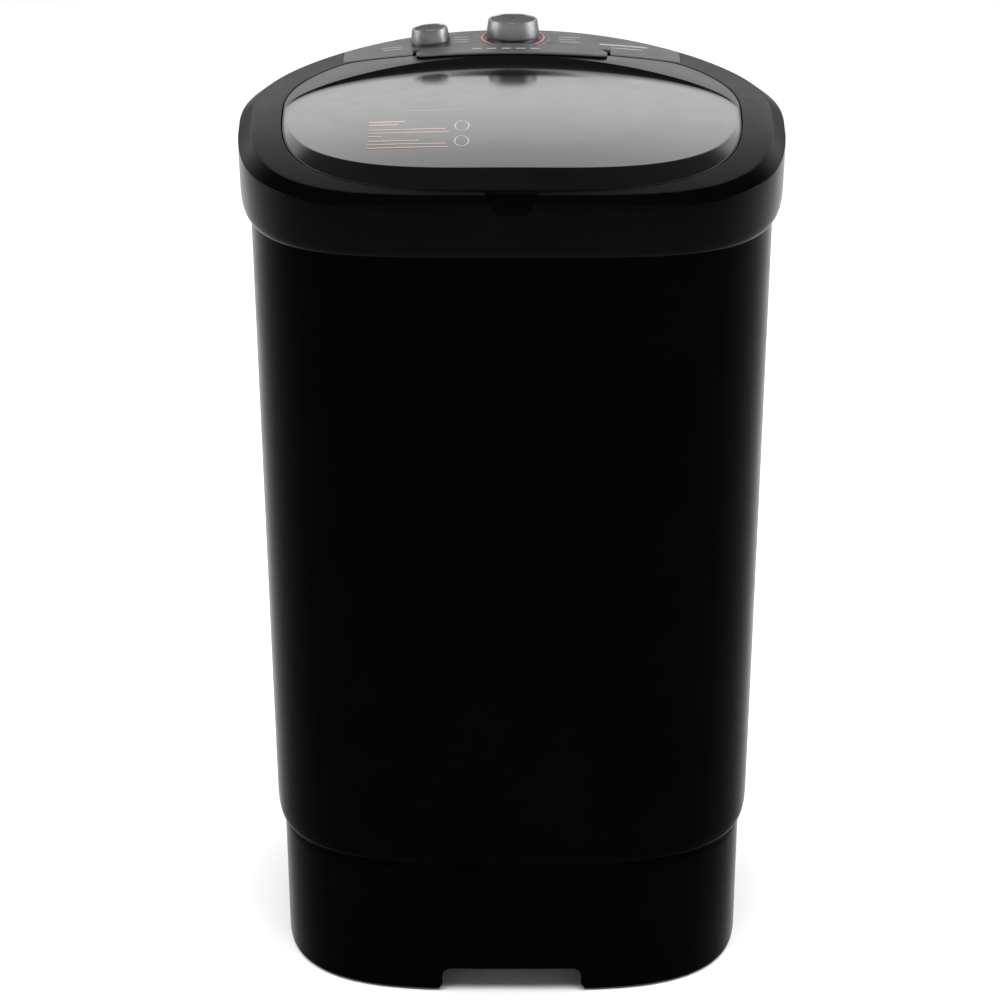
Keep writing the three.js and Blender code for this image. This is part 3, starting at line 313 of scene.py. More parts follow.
def prism(name, points, low, high, place=None, bevel=0, segments=3):
    """Flat outline pushed up from low to high, its rims rounded."""
    work = bmesh.new()
    bottom = [work.verts.new((x * MM, y * MM, low * MM)) for x, y in points]
    face = work.faces.new(bottom)
    grown = bmesh.ops.extrude_face_region(work, geom=[face])
    top = [v for v in grown["geom"] if isinstance(v, bmesh.types.BMVert)]
    bmesh.ops.translate(work, verts=top, vec=(0, 0, (high - low) * MM))
    bmesh.ops.recalc_face_normals(work, faces=work.faces)
    if bevel:
        rims = [e for e in work.edges if abs(e.verts[0].co.z - e.verts[1].co.z) < 1e-7]
        bmesh.ops.bevel(work, geom=rims, offset=bevel * MM, segments=segments, profile=0.5,
                        affect="EDGES", clamp_overlap=True)
    piece = from_work(name, work)
    if place is not None:
        piece.data.transform(place)
    tidy_mesh(piece)
    return piece


def boolean(piece, tools, operation="DIFFERENCE", sharp_angle=38):
    """Cuts with or joins closed tool pieces, then removes the tools."""
    for tool in tools:
        change = piece.modifiers.new("change", "BOOLEAN")
        change.operation, change.solver, change.object = operation, "MANIFOLD", tool
        bake_modifiers(piece)
        bpy.data.objects.remove(tool)
    tidy_mesh(piece, sharp_angle=sharp_angle, weld=2e-6)
    return piece


def bake_modifiers(piece):
    """Makes a piece's modifiers part of its mesh."""
    graph = bpy.context.evaluated_depsgraph_get()
    fresh = bpy.data.meshes.new_from_object(piece.evaluated_get(graph))
    piece.modifiers.clear()
    piece.data = fresh


def rounded_edges(piece, width):
    """Rounds a piece's sharp edges by a width in millimetres."""
    bevel = piece.modifiers.new("edge", "BEVEL")
    bevel.width, bevel.segments = width * MM, 2
    bevel.limit_method, bevel.angle_limit = "ANGLE", math.radians(50)
    bake_modifiers(piece)
    tidy_mesh(piece)


def joined(name, pieces):
    """One object from several, with their shapes kept as they are."""
    work = bmesh.new()
    for piece in pieces:
        work.from_mesh(piece.data)
        bpy.data.objects.remove(piece)
    return from_work(name, work)


def rim_surface(x, y):
    """Height of the rim's top surface above the ground."""
    return RIM + crown(x, y)


def surface_slab(name, x0, x1, y0, y1, low, high, surface=rim_surface, steps=64, rows=10):
    """Slab over the plan area between two curves y0(x) and y1(x), following a surface."""
    share = np.linspace(0, 1, rows + 1)
    rings = []
    for x in np.linspace(x0, x1, steps + 1):
        ys = y0(x) + (y1(x) - y0(x)) * share
        rings.append([(x, y, surface(x, y) + high) for y in ys]
                     + [(x, y, surface(x, y) + low) for y in ys[::-1]])
    return ring_piece(name, rings, closed=False)


def crown_slab(name, half, y0, y1, low, high, **options):
    """Slab of a half width about the middle, following the rim's crown."""
    return surface_slab(name, -half, half, y0, y1, low, high, **options)


def printed_bar(x0, x1, y, width, surface=rim_surface, lift=0.06):
    """Thin printed bar lying on a surface."""
    return surface_slab("bar", x0, x1, lambda x: y - width / 2, lambda x: y + width / 2, -0.2, lift,
                        surface, 8, 2)


def printed_ring(x, y, across, deep, width, surface=rim_surface, lift=0.06, sides=72):
    """Thin printed ring lying on a surface."""
    angle = angles(sides)
    rings = []
    for grow, height in ((0, -0.2), (width, -0.2), (width, lift), (0, lift)):
        px, py = x + (across + grow) * np.cos(angle), y + (deep + grow) * np.sin(angle)
        rings.append(np.stack([px, py, surface(px, py) + height], -1))
    return ring_piece("ring", rings)


# ---------------------------------------------------------------- materials
def material(name):
    """A new node material, its node tree and its Principled shader."""
    made = bpy.data.materials.new(name)
    made.use_nodes = True
    tree = made.node_tree
    shader = tree.nodes["Principled BSDF"]
    return made, tree, shader


def node(tree, kind, inputs=None, **settings):
    """Adds a node; each input takes a socket to link or a value."""
    made = tree.nodes.new(kind)
    for key, value in settings.items():
        setattr(made, key, value)
    for key, value in (inputs or {}).items():
        if isinstance(value, bpy.types.NodeSocket):
            tree.links.new(value, made.inputs[key])
        else:
            made.inputs[key].default_value = value
    return made


def noise(tree, scale, detail=3.0, roughness=0.5, stretch=None):
    """Object-space noise; stretch squeezes it along an axis for brushed grain."""
    place = node(tree, "ShaderNodeTexCoord").outputs["Object"]
    if stretch:
        place = node(tree, "ShaderNodeMapping", {"Vector": place, "Scale": stretch}).outputs["Vector"]
    return node(tree, "ShaderNodeTexNoise",
                {"Vector": place, "Scale": scale, "Detail": detail, "Roughness": roughness}).outputs["Fac"]


def remap(tree, value, low, high, from_low=0.3, from_high=0.7):
    """Stretches a value's usual range over a new one."""
    return node(tree, "ShaderNodeMapRange", {
        "Value": value, "From Min": from_low, "From Max": from_high, "To Min": low, "To Max": high,
    }).outputs["Result"]


def tinted(tree, value, dark, light):
    """Colour that runs from dark to light as a value rises."""
    ramp = node(tree, "ShaderNodeValToRGB", {"Fac": value})
    ramp.color_ramp.elements[0].position = 0.3
    ramp.color_ramp.elements[1].position = 0.7
    ramp.color_ramp.elements[0].color = (*dark, 1)
    ramp.color_ramp.elements[1].color = (*light, 1)
    return ramp.outputs["Color"]


def bumped(tree, *layers):
    """Chain of bump layers, each (height socket, strength, distance in metres)."""
    normal = None
    for height, strength, distance in layers:
        inputs = {"Height": height, "Strength": strength, "Distance": distance}
        if normal is not None:
            inputs["Normal"] = normal
        normal = node(tree, "ShaderNodeBump", inputs).outputs["Normal"]
    return normal


def plastic(name, dark, light, rough, grain=900, grain_depth=0.00002, specular=0.5, spread=0.06,
            metallic=0.0):
    """Moulded plastic: faint flow marks, fine surface grain, uneven sheen."""
    made, tree, shader = material(name)
    flow = noise(tree, 7, 4, 0.6)
    fine = noise(tree, grain, 2, 0.5)
    smear = noise(tree, 42, 5, 0.65)
    tree.links.new(tinted(tree, flow, dark, light), shader.inputs["Base Color"])
    tree.links.new(remap(tree, smear, rough - spread, rough + spread), shader.inputs["Roughness"])
    tree.links.new(bumped(tree, (fine, 0.35, grain_depth)), shader.inputs["Normal"])
    shader.inputs["Specular IOR Level"].default_value = specular
    shader.inputs["Metallic"].default_value = metallic
    return made


def metal(name, dark, light, rough, stretch=(1, 1, 30), scale=180, depth=0.00003, anisotropic=0.3):
    """Bright or plated metal with fine grain and light staining."""
    made, tree, shader = material(name)
    grain = noise(tree, scale, 3, 0.6, stretch)
    stain = noise(tree, 25, 5, 0.6)
    tree.links.new(tinted(tree, stain, dark, light), shader.inputs["Base Color"])
    tree.links.new(remap(tree, grain, rough - 0.08, rough + 0.12), shader.inputs["Roughness"])
    tree.links.new(bumped(tree, (grain, 0.4, depth)), shader.inputs["Normal"])
    shader.inputs["Metallic"].default_value = 1
    shader.inputs["Anisotropic"].default_value = anisotropic
    return made


def net_material():
    """Woven lint net: crossed waves for the mesh."""
    made, tree, shader = material("lint_net")
    place = node(tree, "ShaderNodeTexCoord").outputs["Object"]
    waves = []
    for direction in ("Y", "Z"):
        wave = node(tree, "ShaderNodeTexWave", {"Vector": place, "Scale": 320.0}, wave_type="BANDS",
                    bands_direction=direction)
        waves.append(wave.outputs["Fac"])
    weave = node(tree, "ShaderNodeMath", {0: waves[0], 1: waves[1]}, operation="MAXIMUM").outputs[0]
    tree.links.new(tinted(tree, weave, (0.2, 0.22, 0.24), (0.7, 0.72, 0.74)), shader.inputs["Base Color"])
    tree.links.new(bumped(tree, (weave, 0.8, 0.0004)), shader.inputs["Normal"])
    shader.inputs["Roughness"].default_value = 0.7
    return made


def make_materials():
    m = {}
    m["body"] = plastic("body_black", (0.0004, 0.0004, 0.00045), (0.0008, 0.0008, 0.0009), 0.2,
                        grain=1400, grain_depth=0.000008, specular=0.005, spread=0.03)
    m["frame"] = plastic("frame_grey", (0.0005, 0.0005, 0.00055), (0.0008, 0.0008, 0.0009), 0.22,
                         grain=1600, grain_depth=0.00001, specular=0.026, spread=0.03)
    m["console"] = plastic("console_grey", (0.056, 0.056, 0.058), (0.07, 0.07, 0.072), 0.42,
                           grain=2600, grain_depth=0.00003, specular=0.5, metallic=0.25, spread=0.04)
    m["lid"] = plastic("smoked_lid", (0.002, 0.002, 0.0017), (0.0035, 0.0034, 0.0028), 0.14,
                       grain=500, grain_depth=0.000003, specular=0.8, spread=0.02)
    m["knob"] = metal("knob_silver", (0.2, 0.205, 0.21), (0.27, 0.275, 0.28), 0.36, (1, 1, 0.02), 900)
    m["knob_top"] = plastic("knob_dark", (0.022, 0.022, 0.023), (0.03, 0.03, 0.031), 0.45, grain=2500,
                            specular=0.1)
    m["chrome"] = metal("chrome_rim", (0.34, 0.34, 0.35), (0.42, 0.42, 0.43), 0.3, depth=0.000005)
    m["steel"] = metal("zinc_steel", (0.42, 0.42, 0.43), (0.6, 0.6, 0.6), 0.32)
    m["tub"] = plastic("tub_grey", (0.5, 0.52, 0.53), (0.58, 0.6, 0.61), 0.33, grain=700)
    m["white"] = plastic("white_plastic", (0.66, 0.66, 0.63), (0.74, 0.74, 0.71), 0.4, grain=900)
    m["dark"] = plastic("dark_plastic", (0.003, 0.003, 0.0033), (0.006, 0.006, 0.0065), 0.45, grain=1100,
                        grain_depth=0.00005, specular=0.1)
    m["rubber"] = plastic("rubber", (0.012, 0.012, 0.013), (0.022, 0.022, 0.023), 0.75, grain=1800,
                          grain_depth=0.00008, specular=0.3)
    m["cast"] = metal("cast_aluminium", (0.36, 0.37, 0.38), (0.5, 0.51, 0.52), 0.5, (1, 1, 1), 700,
                      0.00012, 0)
    m["winding"] = metal("motor_laminations", (0.2, 0.13, 0.09), (0.34, 0.2, 0.12), 0.42, (1, 1, 60), 60,
                         0.0003, 0)
    m["bronze"] = metal("sintered_bronze", (0.4, 0.25, 0.12), (0.55, 0.36, 0.18), 0.45, (1, 1, 1), 1500)
    m["net"] = net_material()
    m["lid_edge"] = plastic("lid_edge", (0.0015, 0.0015, 0.0013), (0.0025, 0.0025, 0.0021), 0.2,
                            grain=900, grain_depth=0.000005, specular=0.12, spread=0.02)
    m["legend"] = plastic("pale_legend", (0.22, 0.22, 0.22), (0.3, 0.3, 0.3), 0.5, grain=3000)
    m["peach"] = plastic("peach_print", (0.17, 0.11, 0.085), (0.22, 0.15, 0.12), 0.16, grain=3000,
                         specular=0.8)
    m["pink"] = plastic("pink_ring", (0.42, 0.12, 0.1), (0.52, 0.17, 0.14), 0.4, grain=3000)
    return m


def wear(piece, made, body, slot, *nodes):
    """Gives a piece its material, puts it on its body, and hides the nodes it stands for. The slot is not
    used.
    """
    piece.data.materials.clear()
    piece.data.materials.append(made)
    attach(piece, body)
    if nodes:
        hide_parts(*nodes)
    return piece


# ---------------------------------------------------------------- housing
def build_cabinet(m):
    curl = SEAM + 18
    lower = BASE_TOP_HALF - 0.6
    profile = [(CABINET_TOP_HALF, CABINET_TOP, 1), (CABINET_SKIRT_HALF, SKIRT_BOTTOM, 0)]
    for z in np.linspace(SKIRT_BOTTOM, curl + 8, 12)[1:]:
        profile.append((cabinet_half(z), z, 0))
    profile += [(CABINET_SEAM_HALF - 0.1, SEAM + 0.8, 13), (lower, SEAM + 0.6, 0.5), (lower, SEAM + 3.6, 0.5),
                (CABINET_SEAM_HALF - WALL - 0.4, SEAM + 4.2, 8), (cabinet_half(curl) - WALL, curl, 0),
                (CABINET_SKIRT_HALF - WALL, SKIRT_BOTTOM, 0), (CABINET_TOP_HALF - WALL, CABINET_TOP, 1)]
    shell = body_loft("cabinet_shell", profile)
    high, low = SKIRT_BOTTOM + 30, SEAM - 8
    depth_high, depth_low = (cabinet_half(z) * DEPTH_RATIO - GROOVE_DEPTH for z in (high, low))
    right = [(GROOVE_HALF - 3, 0), (GROOVE_HALF - 2, 0.15), (GROOVE_HALF - 0.8, 1),
             (GROOVE_HALF, GROOVE_DEPTH), (GROOVE_HALF, 30)]
    section = [(-x, out) for x, out in reversed(right)] + right
    rings = [[(x, -(depth + out), z) for x, out in section]
             for depth, z in ((depth_low, low), (depth_high, high))]
    cutter = ring_piece("groove", rings, closed=False)
    window = block("window", (SERVICE_HALF * 2 - 24, 60, SERVICE_HEIGHT - 24), (0, 225, SERVICE_Z), 6)
    boolean(shell, [cutter, window])
    return wear(shell, m["body"], "body", "body_black", "cabinet")


def build_base(m):
    low, high = FLOOR_CLEARANCE, SEAM + 14
    profile = [(BASE_BOTTOM_HALF - 0.4, low, 1.2), (base_half(SEAM - 10), SEAM - 10, 2),
               (BASE_TOP_HALF - 2, SEAM - 2, 1), (BASE_TOP_HALF - 2, high, 0.6),
               (BASE_TOP_HALF - 5, high, 0.6), (BASE_TOP_HALF - 5, SEAM - 10, 1),
               (base_half(DECK) - WALL, DECK, 1), (30, DECK, 0), (30, DECK - 4, 0),
               (base_half(DECK) - WALL, DECK - 4, 1), (BASE_BOTTOM_HALF - WALL, low, 1)]
    shell = body_loft("base_shell", profile)
    plug = block("plug", (90, 90, 3.9), (0, 0, DECK - 2.02))
    foot, corner_x, corner_z = CUTOUT_HALF + CUTOUT_LIP, CUTOUT_HALF - CUTOUT_CORNER, 16
    quarter = [(corner_x + CUTOUT_CORNER * math.cos(a), corner_z + CUTOUT_CORNER * math.sin(a))
               for a in np.linspace(0, math.pi / 2, 8)]
    right = [(foot, -10), (foot, CUTOUT_LIP), (CUTOUT_HALF, 8), *quarter]
    arch = right + [(-x, z) for x, z in reversed(right)]
    opening = prism("cutout", arch, 150, 260, place=at(0, 0, 0, (90, 0, 0)))
    slots = [block(f"slot{x}", (14, 90, 20), (x, -110, DECK - 2), 4) for x in (-60, -30, 0, 30, 60)]
    boolean(shell, [plug], "UNION")
    sockets = [turned("socket", [(0, 5, 0), (20, 5, 1), (20, DECK - 2, 0), (0, DECK - 2, 0)], 48, at(x, y))
               for x, y in FEET]
    boolean(shell, sockets, "UNION")
    bores = [rod("bore", 8.4, 0, 30, at(x, y), 32) for x, y in FEET]
    holes = [rod("hole", radius, 190, 230, at(x, 0, OUTLET_Z, REARWARD))
             for x, radius in ((SPIGOT_X, 12.5), (GLAND_X, 8.4))]
    boolean(shell, [opening, *slots, *bores, *holes])
    return wear(shell, m["body"], "body", "body_black", "base")


def rim_ring(share, height):
    """A ring of the rim plate, a share of the way in from the chamfer's edge to the lid opening."""
    edge = body_ring(CHAMFER_HALF, RIM)
    mouth_x, mouth_y = opening_xy(OPENING_HALF)
    x = edge[:, 0] * (1 - share) + mouth_x * share
    y = edge[:, 1] * (1 - share) + mouth_y * share
    return np.stack([x, y, RIM + crown(x, y) + height], -1)


def build_top_frame(m):
    low = SKIRT_BOTTOM + 5
    path = [(body_ring(SKIRT_LIP, low), 0.8), (body_ring(248, low), 4), (body_ring(251.4, low + 4), 6),
            (body_ring(252.2, low + 14), 4), (body_ring(HALF_WIDTH, CHAMFER_LOW), 1.2), (rim_ring(0, 0), 0.9)]
    path += [(rim_ring(share, 0), 0) for share in (0.2, 0.4, 0.6, 0.8, 0.93)]
    path += [(opening_ring(OPENING_HALF, 0), 0.9), (opening_ring(OPENING_HALF, -LEDGE_DROP), 0.7),
             (opening_ring(OPENING_HALF - 10, -LEDGE_DROP), 0.8),
             (opening_ring(OPENING_HALF - 10, -LEDGE_DROP - WALL), 0.8),
             (opening_ring(OPENING_HALF, -LEDGE_DROP - WALL), 1), (tub_ring(OPENING_HALF, COLLAR_BOTTOM), 1),
             (tub_ring(OPENING_HALF + 3, COLLAR_BOTTOM), 1), (opening_ring(OPENING_HALF + 3, -WALL), 1)]
    path += [(rim_ring(share, -WALL), 0) for share in (0.8, 0.6, 0.4, 0.2)]
    path += [(body_ring(CHAMFER_HALF - 1.5, RIM - WALL), 2),
             (body_ring(HALF_WIDTH - 3.4, CHAMFER_LOW - 2), 2), (body_ring(248, low + 12), 3),
             (body_ring(246.8, low + 6), 2), (body_ring(SKIRT_LIP, low + 3.6), 0.8)]
    rings, radii = zip(*path)
    shell = ring_piece("top_frame_shell", softened(rings, radii))
    rear_edge = lambda x: rear_wall(x, CHAMFER_HALF)
    pocket_front = lambda x: console_front(x) + 2
    pocket_rear = lambda x: rear_edge(x) - 1
    tray = crown_slab("tray", CONSOLE_HALF + 6, lambda x: pocket_front(x) - 1, lambda x: rear_edge(x) + 1.5,
                      -6.2, -2.4)
    trough = block("trough", (196, 33.9, 29), (0, 166.55, 808.9), 2)
    lid_space = crown_slab("lid_space", 101, lambda x: 130, lambda x: 152.6, -LEDGE_DROP, 12)
    side_view = [(RIM_FRONT + 1.5, RIM - 19), (RIM_FRONT + 1.5, RIM - 8.4), (RIM_FRONT + 10, RIM - 2.2),
                 (RIM_FRONT + 25, RIM - 2.2), (RIM_FRONT + 25, RIM - 19)]
    scoop_block = ring_piece("scoop_block", [[(x, y, z) for y, z in side_view] for x in (-30, 30)],
                             closed=False)
    boolean(shell, [tray, trough, scoop_block], "UNION")
    pocket = crown_slab("pocket", CONSOLE_HALF + 0.4, pocket_front, pocket_rear, -3.2, 12)
    tray_window = crown_slab("tray_window", CONSOLE_HALF - 12, lambda x: 184, lambda x: pocket_rear(x) - 8,
                             -20, 12)
    hinge_space = block("hinge_space", (190, 29, 40), (0, HINGE_Y + 6.5, 817), 2)
    boolean(shell, [lid_space, pocket, tray_window, hinge_space, scoop_space()])
    ears = [block(f"ear{side}", (6, 8, 26), (side * 67, HINGE_Y, 807.5), 1.2) for side in (-1, 1)]
    boolean(shell, ears, "UNION")
    boolean(shell, [rod_along_x("pin_hole", 2.3, -80, 80)])
    return wear(shell, m["frame"], "body", "frame_grey", "top_frame")


def scoop_space():
    """Tapered hollow of the finger recess, with a sloping floor."""
    low = RIM - 15

    def row(y, floor, half_low, half_high):
        return [(-half_low, y, floor), (half_low, y, floor), (half_high, y, RIM + 5), (-half_high, y, RIM + 5)]

    rings = [row(RIM_FRONT - 9, low - 4, 11, 29), row(RIM_FRONT - 1, low, 12.5, 28),
             row(RIM_FRONT + 19, RIM - 0.6, 22, 25.5), row(RIM_FRONT + 20, RIM + 4, 22, 25)]
    return ring_piece("scoop", rings, closed=False)


def build_console(m):
    edge = lambda x: rear_wall(x, CHAMFER_HALF) - 1.4
    panel = crown_slab("console_plate", CONSOLE_HALF, lambda x: console_front(x) + 2.4, edge, -2.8, 0,
                       steps=96, rows=12)
    notch = crown_slab("notch", TAB_HALF + 3, lambda x: 140, lambda x: max(tab_rear(x) + 5.5, TAB_SWING),
                       -30, 20)
    pads = []
    for pose, radius in ((TIMER, TIMER_RADIUS - 1.8), (SELECTOR, SELECTOR_RADIUS - 1.5)):
        pad = turned("pad", [(0, -9, 0), (radius, -9, 0), (radius, 0, 0.3), (0, 0, 0)], 96, pose)
        below = crown_slab("below", 120, lambda x: 150, lambda x: 240, -40, -2.6)
        pads.append(boolean(pad, [below]))
    boolean(panel, pads, "UNION")
    bores = [rod("bore", 5, -20, 10, pose, 32) for pose in (TIMER, SELECTOR)]
    boolean(panel, [notch, *bores])
    rounded_edges(panel, 0.6)
    return wear(panel, m["console"], "body", "console_grey", "console_panel")


def joint_place(name):
    """A joint's point and axis, from the frame."""
    joint = next(j for j in frame["joints"] if j["name"] == name)
    return Vector(joint["pos_m"]), Vector(joint["axis"]).normalized()


def knob_pose(name):
    point, axis = joint_place(name)
    return Matrix.Translation(point) @ Vector((0, 0, 1)).rotation_difference(axis).to_matrix().to_4x4()


TIMER, SELECTOR = knob_pose("timer_turn"), knob_pose("selector_turn")


def build_knob(m, prefix, pose, radius, height, body):
    gap = 0.4
    taper = 2.2
    wall = turned(f"{prefix}_wall", [
        (0, 1.2 + gap, 0), (radius - 2, 1.2 + gap, 0.3), (radius - 2, gap, 0.2), (radius, gap, 0.4),
        (radius - 0.3, height * 0.3, 3), (radius - taper, height, 0.9), (radius - taper - 1.6, height, 0.3),
        (radius - taper - 2.2, height - 0.9, 0.3), (0, height - 0.9, 0)], 160, pose)
    wear(wall, m["knob"], body, "knob_silver", f"{prefix}_knob")
    top_radius = radius - taper - 2.3
    top = turned(f"{prefix}_top", [
        (0, height - 0.85, 0), (top_radius, height - 0.85, 0.1), (top_radius, height - 0.5, 0.2),
        (top_radius - 2, height - 0.62, 1), (0, height - 0.9 + 0.1, 0)], 128, pose)
    wear(top, m["knob_top"], body, "dark_plastic")
    rim = turned(f"{prefix}_rim", [
        (radius - taper - 1.9, height - 0.7, 0.1), (radius - taper - 0.2, height - 0.7, 0.1),
        (radius - taper - 0.35, height + 0.18, 0.35), (radius - taper - 1.7, height + 0.18, 0.35)], 160, pose)
    wear(rim, m["chrome"], body, "knob_silver")
    mark = block(f"{prefix}_mark", (1.3, radius * 0.5, 0.5),
                 (0, radius - taper - 4 - radius * 0.25, height - 0.45), 0.15, 2, pose)
    wear(mark, m["knob_top"], body, "dark_plastic")


# ---------------------------------------------------------------- lid
def plateau(x, y):
    """Height of the lid's domed top."""
    return 820 - 6.5 * (x / 210) ** 2 - 5 * ((y + 70) / 200) ** 2


def tab_front(x):
    return 143.5 - 0.0004 * x * x


def tab_rear(x):
    return 175 - 0.00197 * x * x


def lid_rings():
    """Rings of the lid from the middle of its top, over the edge, to the middle of its underside."""
    angle = angles()
    cx, cy = outline(angle, CREASE_HALF, CREASE_FRONT, CREASE_REAR, CREASE_FRONT_POWER, CREASE_REAR_POWER,
                     CREASE_TAPER)
    sx, sy = outline(angle, STRIP_HALF, STRIP_FRONT, STRIP_REAR, OPENING_POWER, STRIP_REAR_POWER,
                     OPENING_TAPER)

    def dome(scale, drop=0.0):
        x, y = cx * scale, cy * scale
        return np.stack([x, y, plateau(x, y) - drop], -1)

    strip = np.stack([sx, sy, RIM + crown(sx, sy)], -1)
    rear = np.clip((np.sin(angle) + 0.05) / 0.35, 0, 1)
    crease_radius = 1.3 + 22 * rear
    strip_radius = 0.2 + 1.6 * rear
    outer = opening_ring(LID_HALF, 0)
    path = [dome(0.64), dome(1), strip, outer, opening_ring(LID_HALF, -LEDGE_DROP + 0.4),
            opening_ring(LID_HALF - 6, -LEDGE_DROP + 0.4), opening_ring(LID_HALF - 7, -4), dome(0.97, 4),
            dome(0.85, 3)]
    radii = [0, crease_radius, strip_radius, np.full_like(angle, 0.7), 0.5, 1, 1, 3, 0]
    radii = [np.broadcast_to(r, angle.shape) for r in radii]
    rim = softened(path, radii, closed=False, steps=7)
    top = [dome(s) for s in np.linspace(0.02, 0.6, 18)]
    under = [dome(s, 3) for s in np.linspace(0.8, 0.02, 10)]
    return top + rim + under


def build_lid(m):
    """Lid with its hinge barrel; the part outside the bevel's foot has a duller edge material."""
    shell = ring_piece("lid_shell", lid_rings(), closed=False, sharp_angle=30)
    barrel = rod_along_x("barrel", 4.5, -61, 61, rounding=0.5)
    saddle = block("saddle", (122, 9, 9), (0, HINGE_Y, HINGE_Z + 0.5), 1.5)
    web = block("web", (122, 14, 3.7), (0, HINGE_Y - 7, HINGE_Z + 2.65), 1)
    boolean(shell, [barrel, saddle, web], "UNION", sharp_angle=30)
    boolean(shell, [rod_along_x("lid_pin_hole", 2.4, -70, 70)], sharp_angle=30)
    wear(shell, m["lid"], "lid", "smoked_lid", "lid")
    shell.data.materials.append(m["lid_edge"])
    for face in shell.data.polygons:
        x, y = face.center.x / MM, face.center.y / MM
        depth, power = (STRIP_REAR, STRIP_REAR_POWER) if y > 0 else (STRIP_FRONT, OPENING_POWER)
        half = STRIP_HALF * (1 - OPENING_TAPER * max(-y / STRIP_FRONT, 0) ** 2)
        face.material_index = int((abs(x) / half) ** power + (abs(y) / depth) ** power > 1)


def build_tab(m):
    """Hinge cover: a bowed pill with rounded ends and rolled edges."""
    steps = 72
    rings = []
    for x in np.linspace(-TAB_HALF + 0.4, TAB_HALF - 0.4, steps + 1):
        front, rear = tab_front(x), tab_rear(x)
        end = math.sqrt(max(0.0, 1 - max(0.0, (abs(x) - TAB_HALF + 8) / 8) ** 2))
        middle, reach = (front + rear) / 2, (rear - front) / 2 * (0.25 + 0.75 * end)
        section = []
        for t in np.arange(32) / 32 * TAU:
            side, lift = signed_power(math.cos(t), 0.28), signed_power(math.sin(t), 0.5)
            y = middle + reach * side
            section.append((x, y, RIM + crown(x, y) + 1.55 + 1.25 * lift * (0.5 + 0.5 * end)))
        rings.append(section)
    tab = ring_piece("hinge_tab", rings, closed=False)
    wear(tab, m["console"], "lid", "console_grey", "hinge_cover")


def build_lid_print(m):
    """Plain printed bars and two rings on the left of the lid, where its instructions are."""
    bars = []
    for y, x1 in ((-56, -98), (-65, -104)):
        bars.append(printed_bar(-131, x1, y, 3.6, plateau))
    for y, x1 in ((-80, -60), (-90, -57), (-100, -118), (-114, -84), (-124, -60), (-134, -58)):
        bars.append(printed_bar(-131, x1, y, 2.6, plateau))
    for y in (-72, -118):
        bars.append(printed_ring(-45.5, y, 5.6, 14, 1.5, plateau))
    bars.append(printed_bar(-100, -42, -22, 1.6, plateau))
    wear(joined("lid_print", bars), m["peach"], "lid", "white_plastic")


def build_legends(m):
    """Ticks round the timer, short bars for the settings, and the timer's coloured ring."""
    marks = []
    tick_circle = 35.5
    for k in range(-9, 10):
        turn = math.radians(90 + k * 15)
        x, y = TIMER_X + tick_circle * math.cos(turn), TIMER_Y + tick_circle * math.sin(turn)
        if y < rear_wall(x, CHAMFER_HALF) - 5:
            marks.append(printed_bar(x - 1.1, x + 1.1, y, 1.1))
    for x0, x1, y, width in ((85, 131, 188, 4.4), (96, 126, 178, 2), (46, 66, 206, 1.8), (46, 62, 198, 1.8),
                             (46, 66, 190, 1.8), (-56, -42, 206, 1.8), (-58, -42, 198, 1.8),
                             (-56, -42, 190, 1.8), (-126, -106, 184, 1.8), (-124, -106, 176, 1.8)):
        marks.append(printed_bar(x0, x1, y, width))
    wear(joined("console_legends", marks), m["legend"], "body", "white_plastic")
    ring = printed_ring(TIMER_X, TIMER_Y, 29.6, 29.6, 1.3, lift=0.5)
    wear(ring, m["pink"], "body", "white_plastic")
    ring.name = "timer_ring"
    stripes = [printed_bar(x, x + 9, 156.5, 2.2, lambda px, py: rim_surface(px, py) + 2.7, 0.18)
               for x in (-38, -24, -10, 4, 18)]
    wear(joined("tab_bars", stripes), m["legend"], "lid", "white_plastic")


# ---------------------------------------------------------------- tub and pulsator
def build_tub(m):
    top, bend = 762, tub_half(TUB_FLOOR + 26)
    path = [(tub_ring(8, TUB_FLOOR), 0), (tub_ring(90, TUB_FLOOR), 0), (tub_ring(168, TUB_FLOOR), 4),
            (tub_ring(180, TUB_FLOOR + 5), 8), (tub_ring(bend, TUB_FLOOR + 26), 14)]
    path += [(tub_ring(tub_half(z), z), 0) for z in (430, 520, 610, 700)]
    path += [(tub_ring(TUB_TOP_HALF, top), 1), (tub_ring(TUB_TOP_HALF + WALL, top), 1),
             (tub_ring(TUB_TOP_HALF + WALL, top - 14), 1), (tub_ring(bend + WALL, TUB_FLOOR + 24), 12),
             (tub_ring(183, TUB_FLOOR + 2), 7), (tub_ring(169, TUB_FLOOR - 4), 3),
             (tub_ring(8, TUB_FLOOR - 4), 0)]
    rings, radii = zip(*path)
    shell = ring_piece("tub_shell", softened(rings, radii, closed=False), closed=False)
    solids = [turned("boss", [(0, 322, 0), (30, 322, 1), (30, 336, 0), (0, 336, 0)], 64, at(0, PULSATOR_Y)),
              turned("neck", [(0, 316, 0), (23, 316, 1), (23, 336, 0), (0, 336, 0)], 48, at(DRAIN_X, DRAIN_Y))]
    boolean(shell, solids, "UNION")
    holes = [rod("shaft_hole", 22, 290, 350, at(0, PULSATOR_Y), 64),
             rod("drain_hole", 19.4, 290, 350, at(DRAIN_X, DRAIN_Y))]
    boolean(shell, holes)
    wear(shell, m["tub"], "body", "tub_grey", "wash_tub")


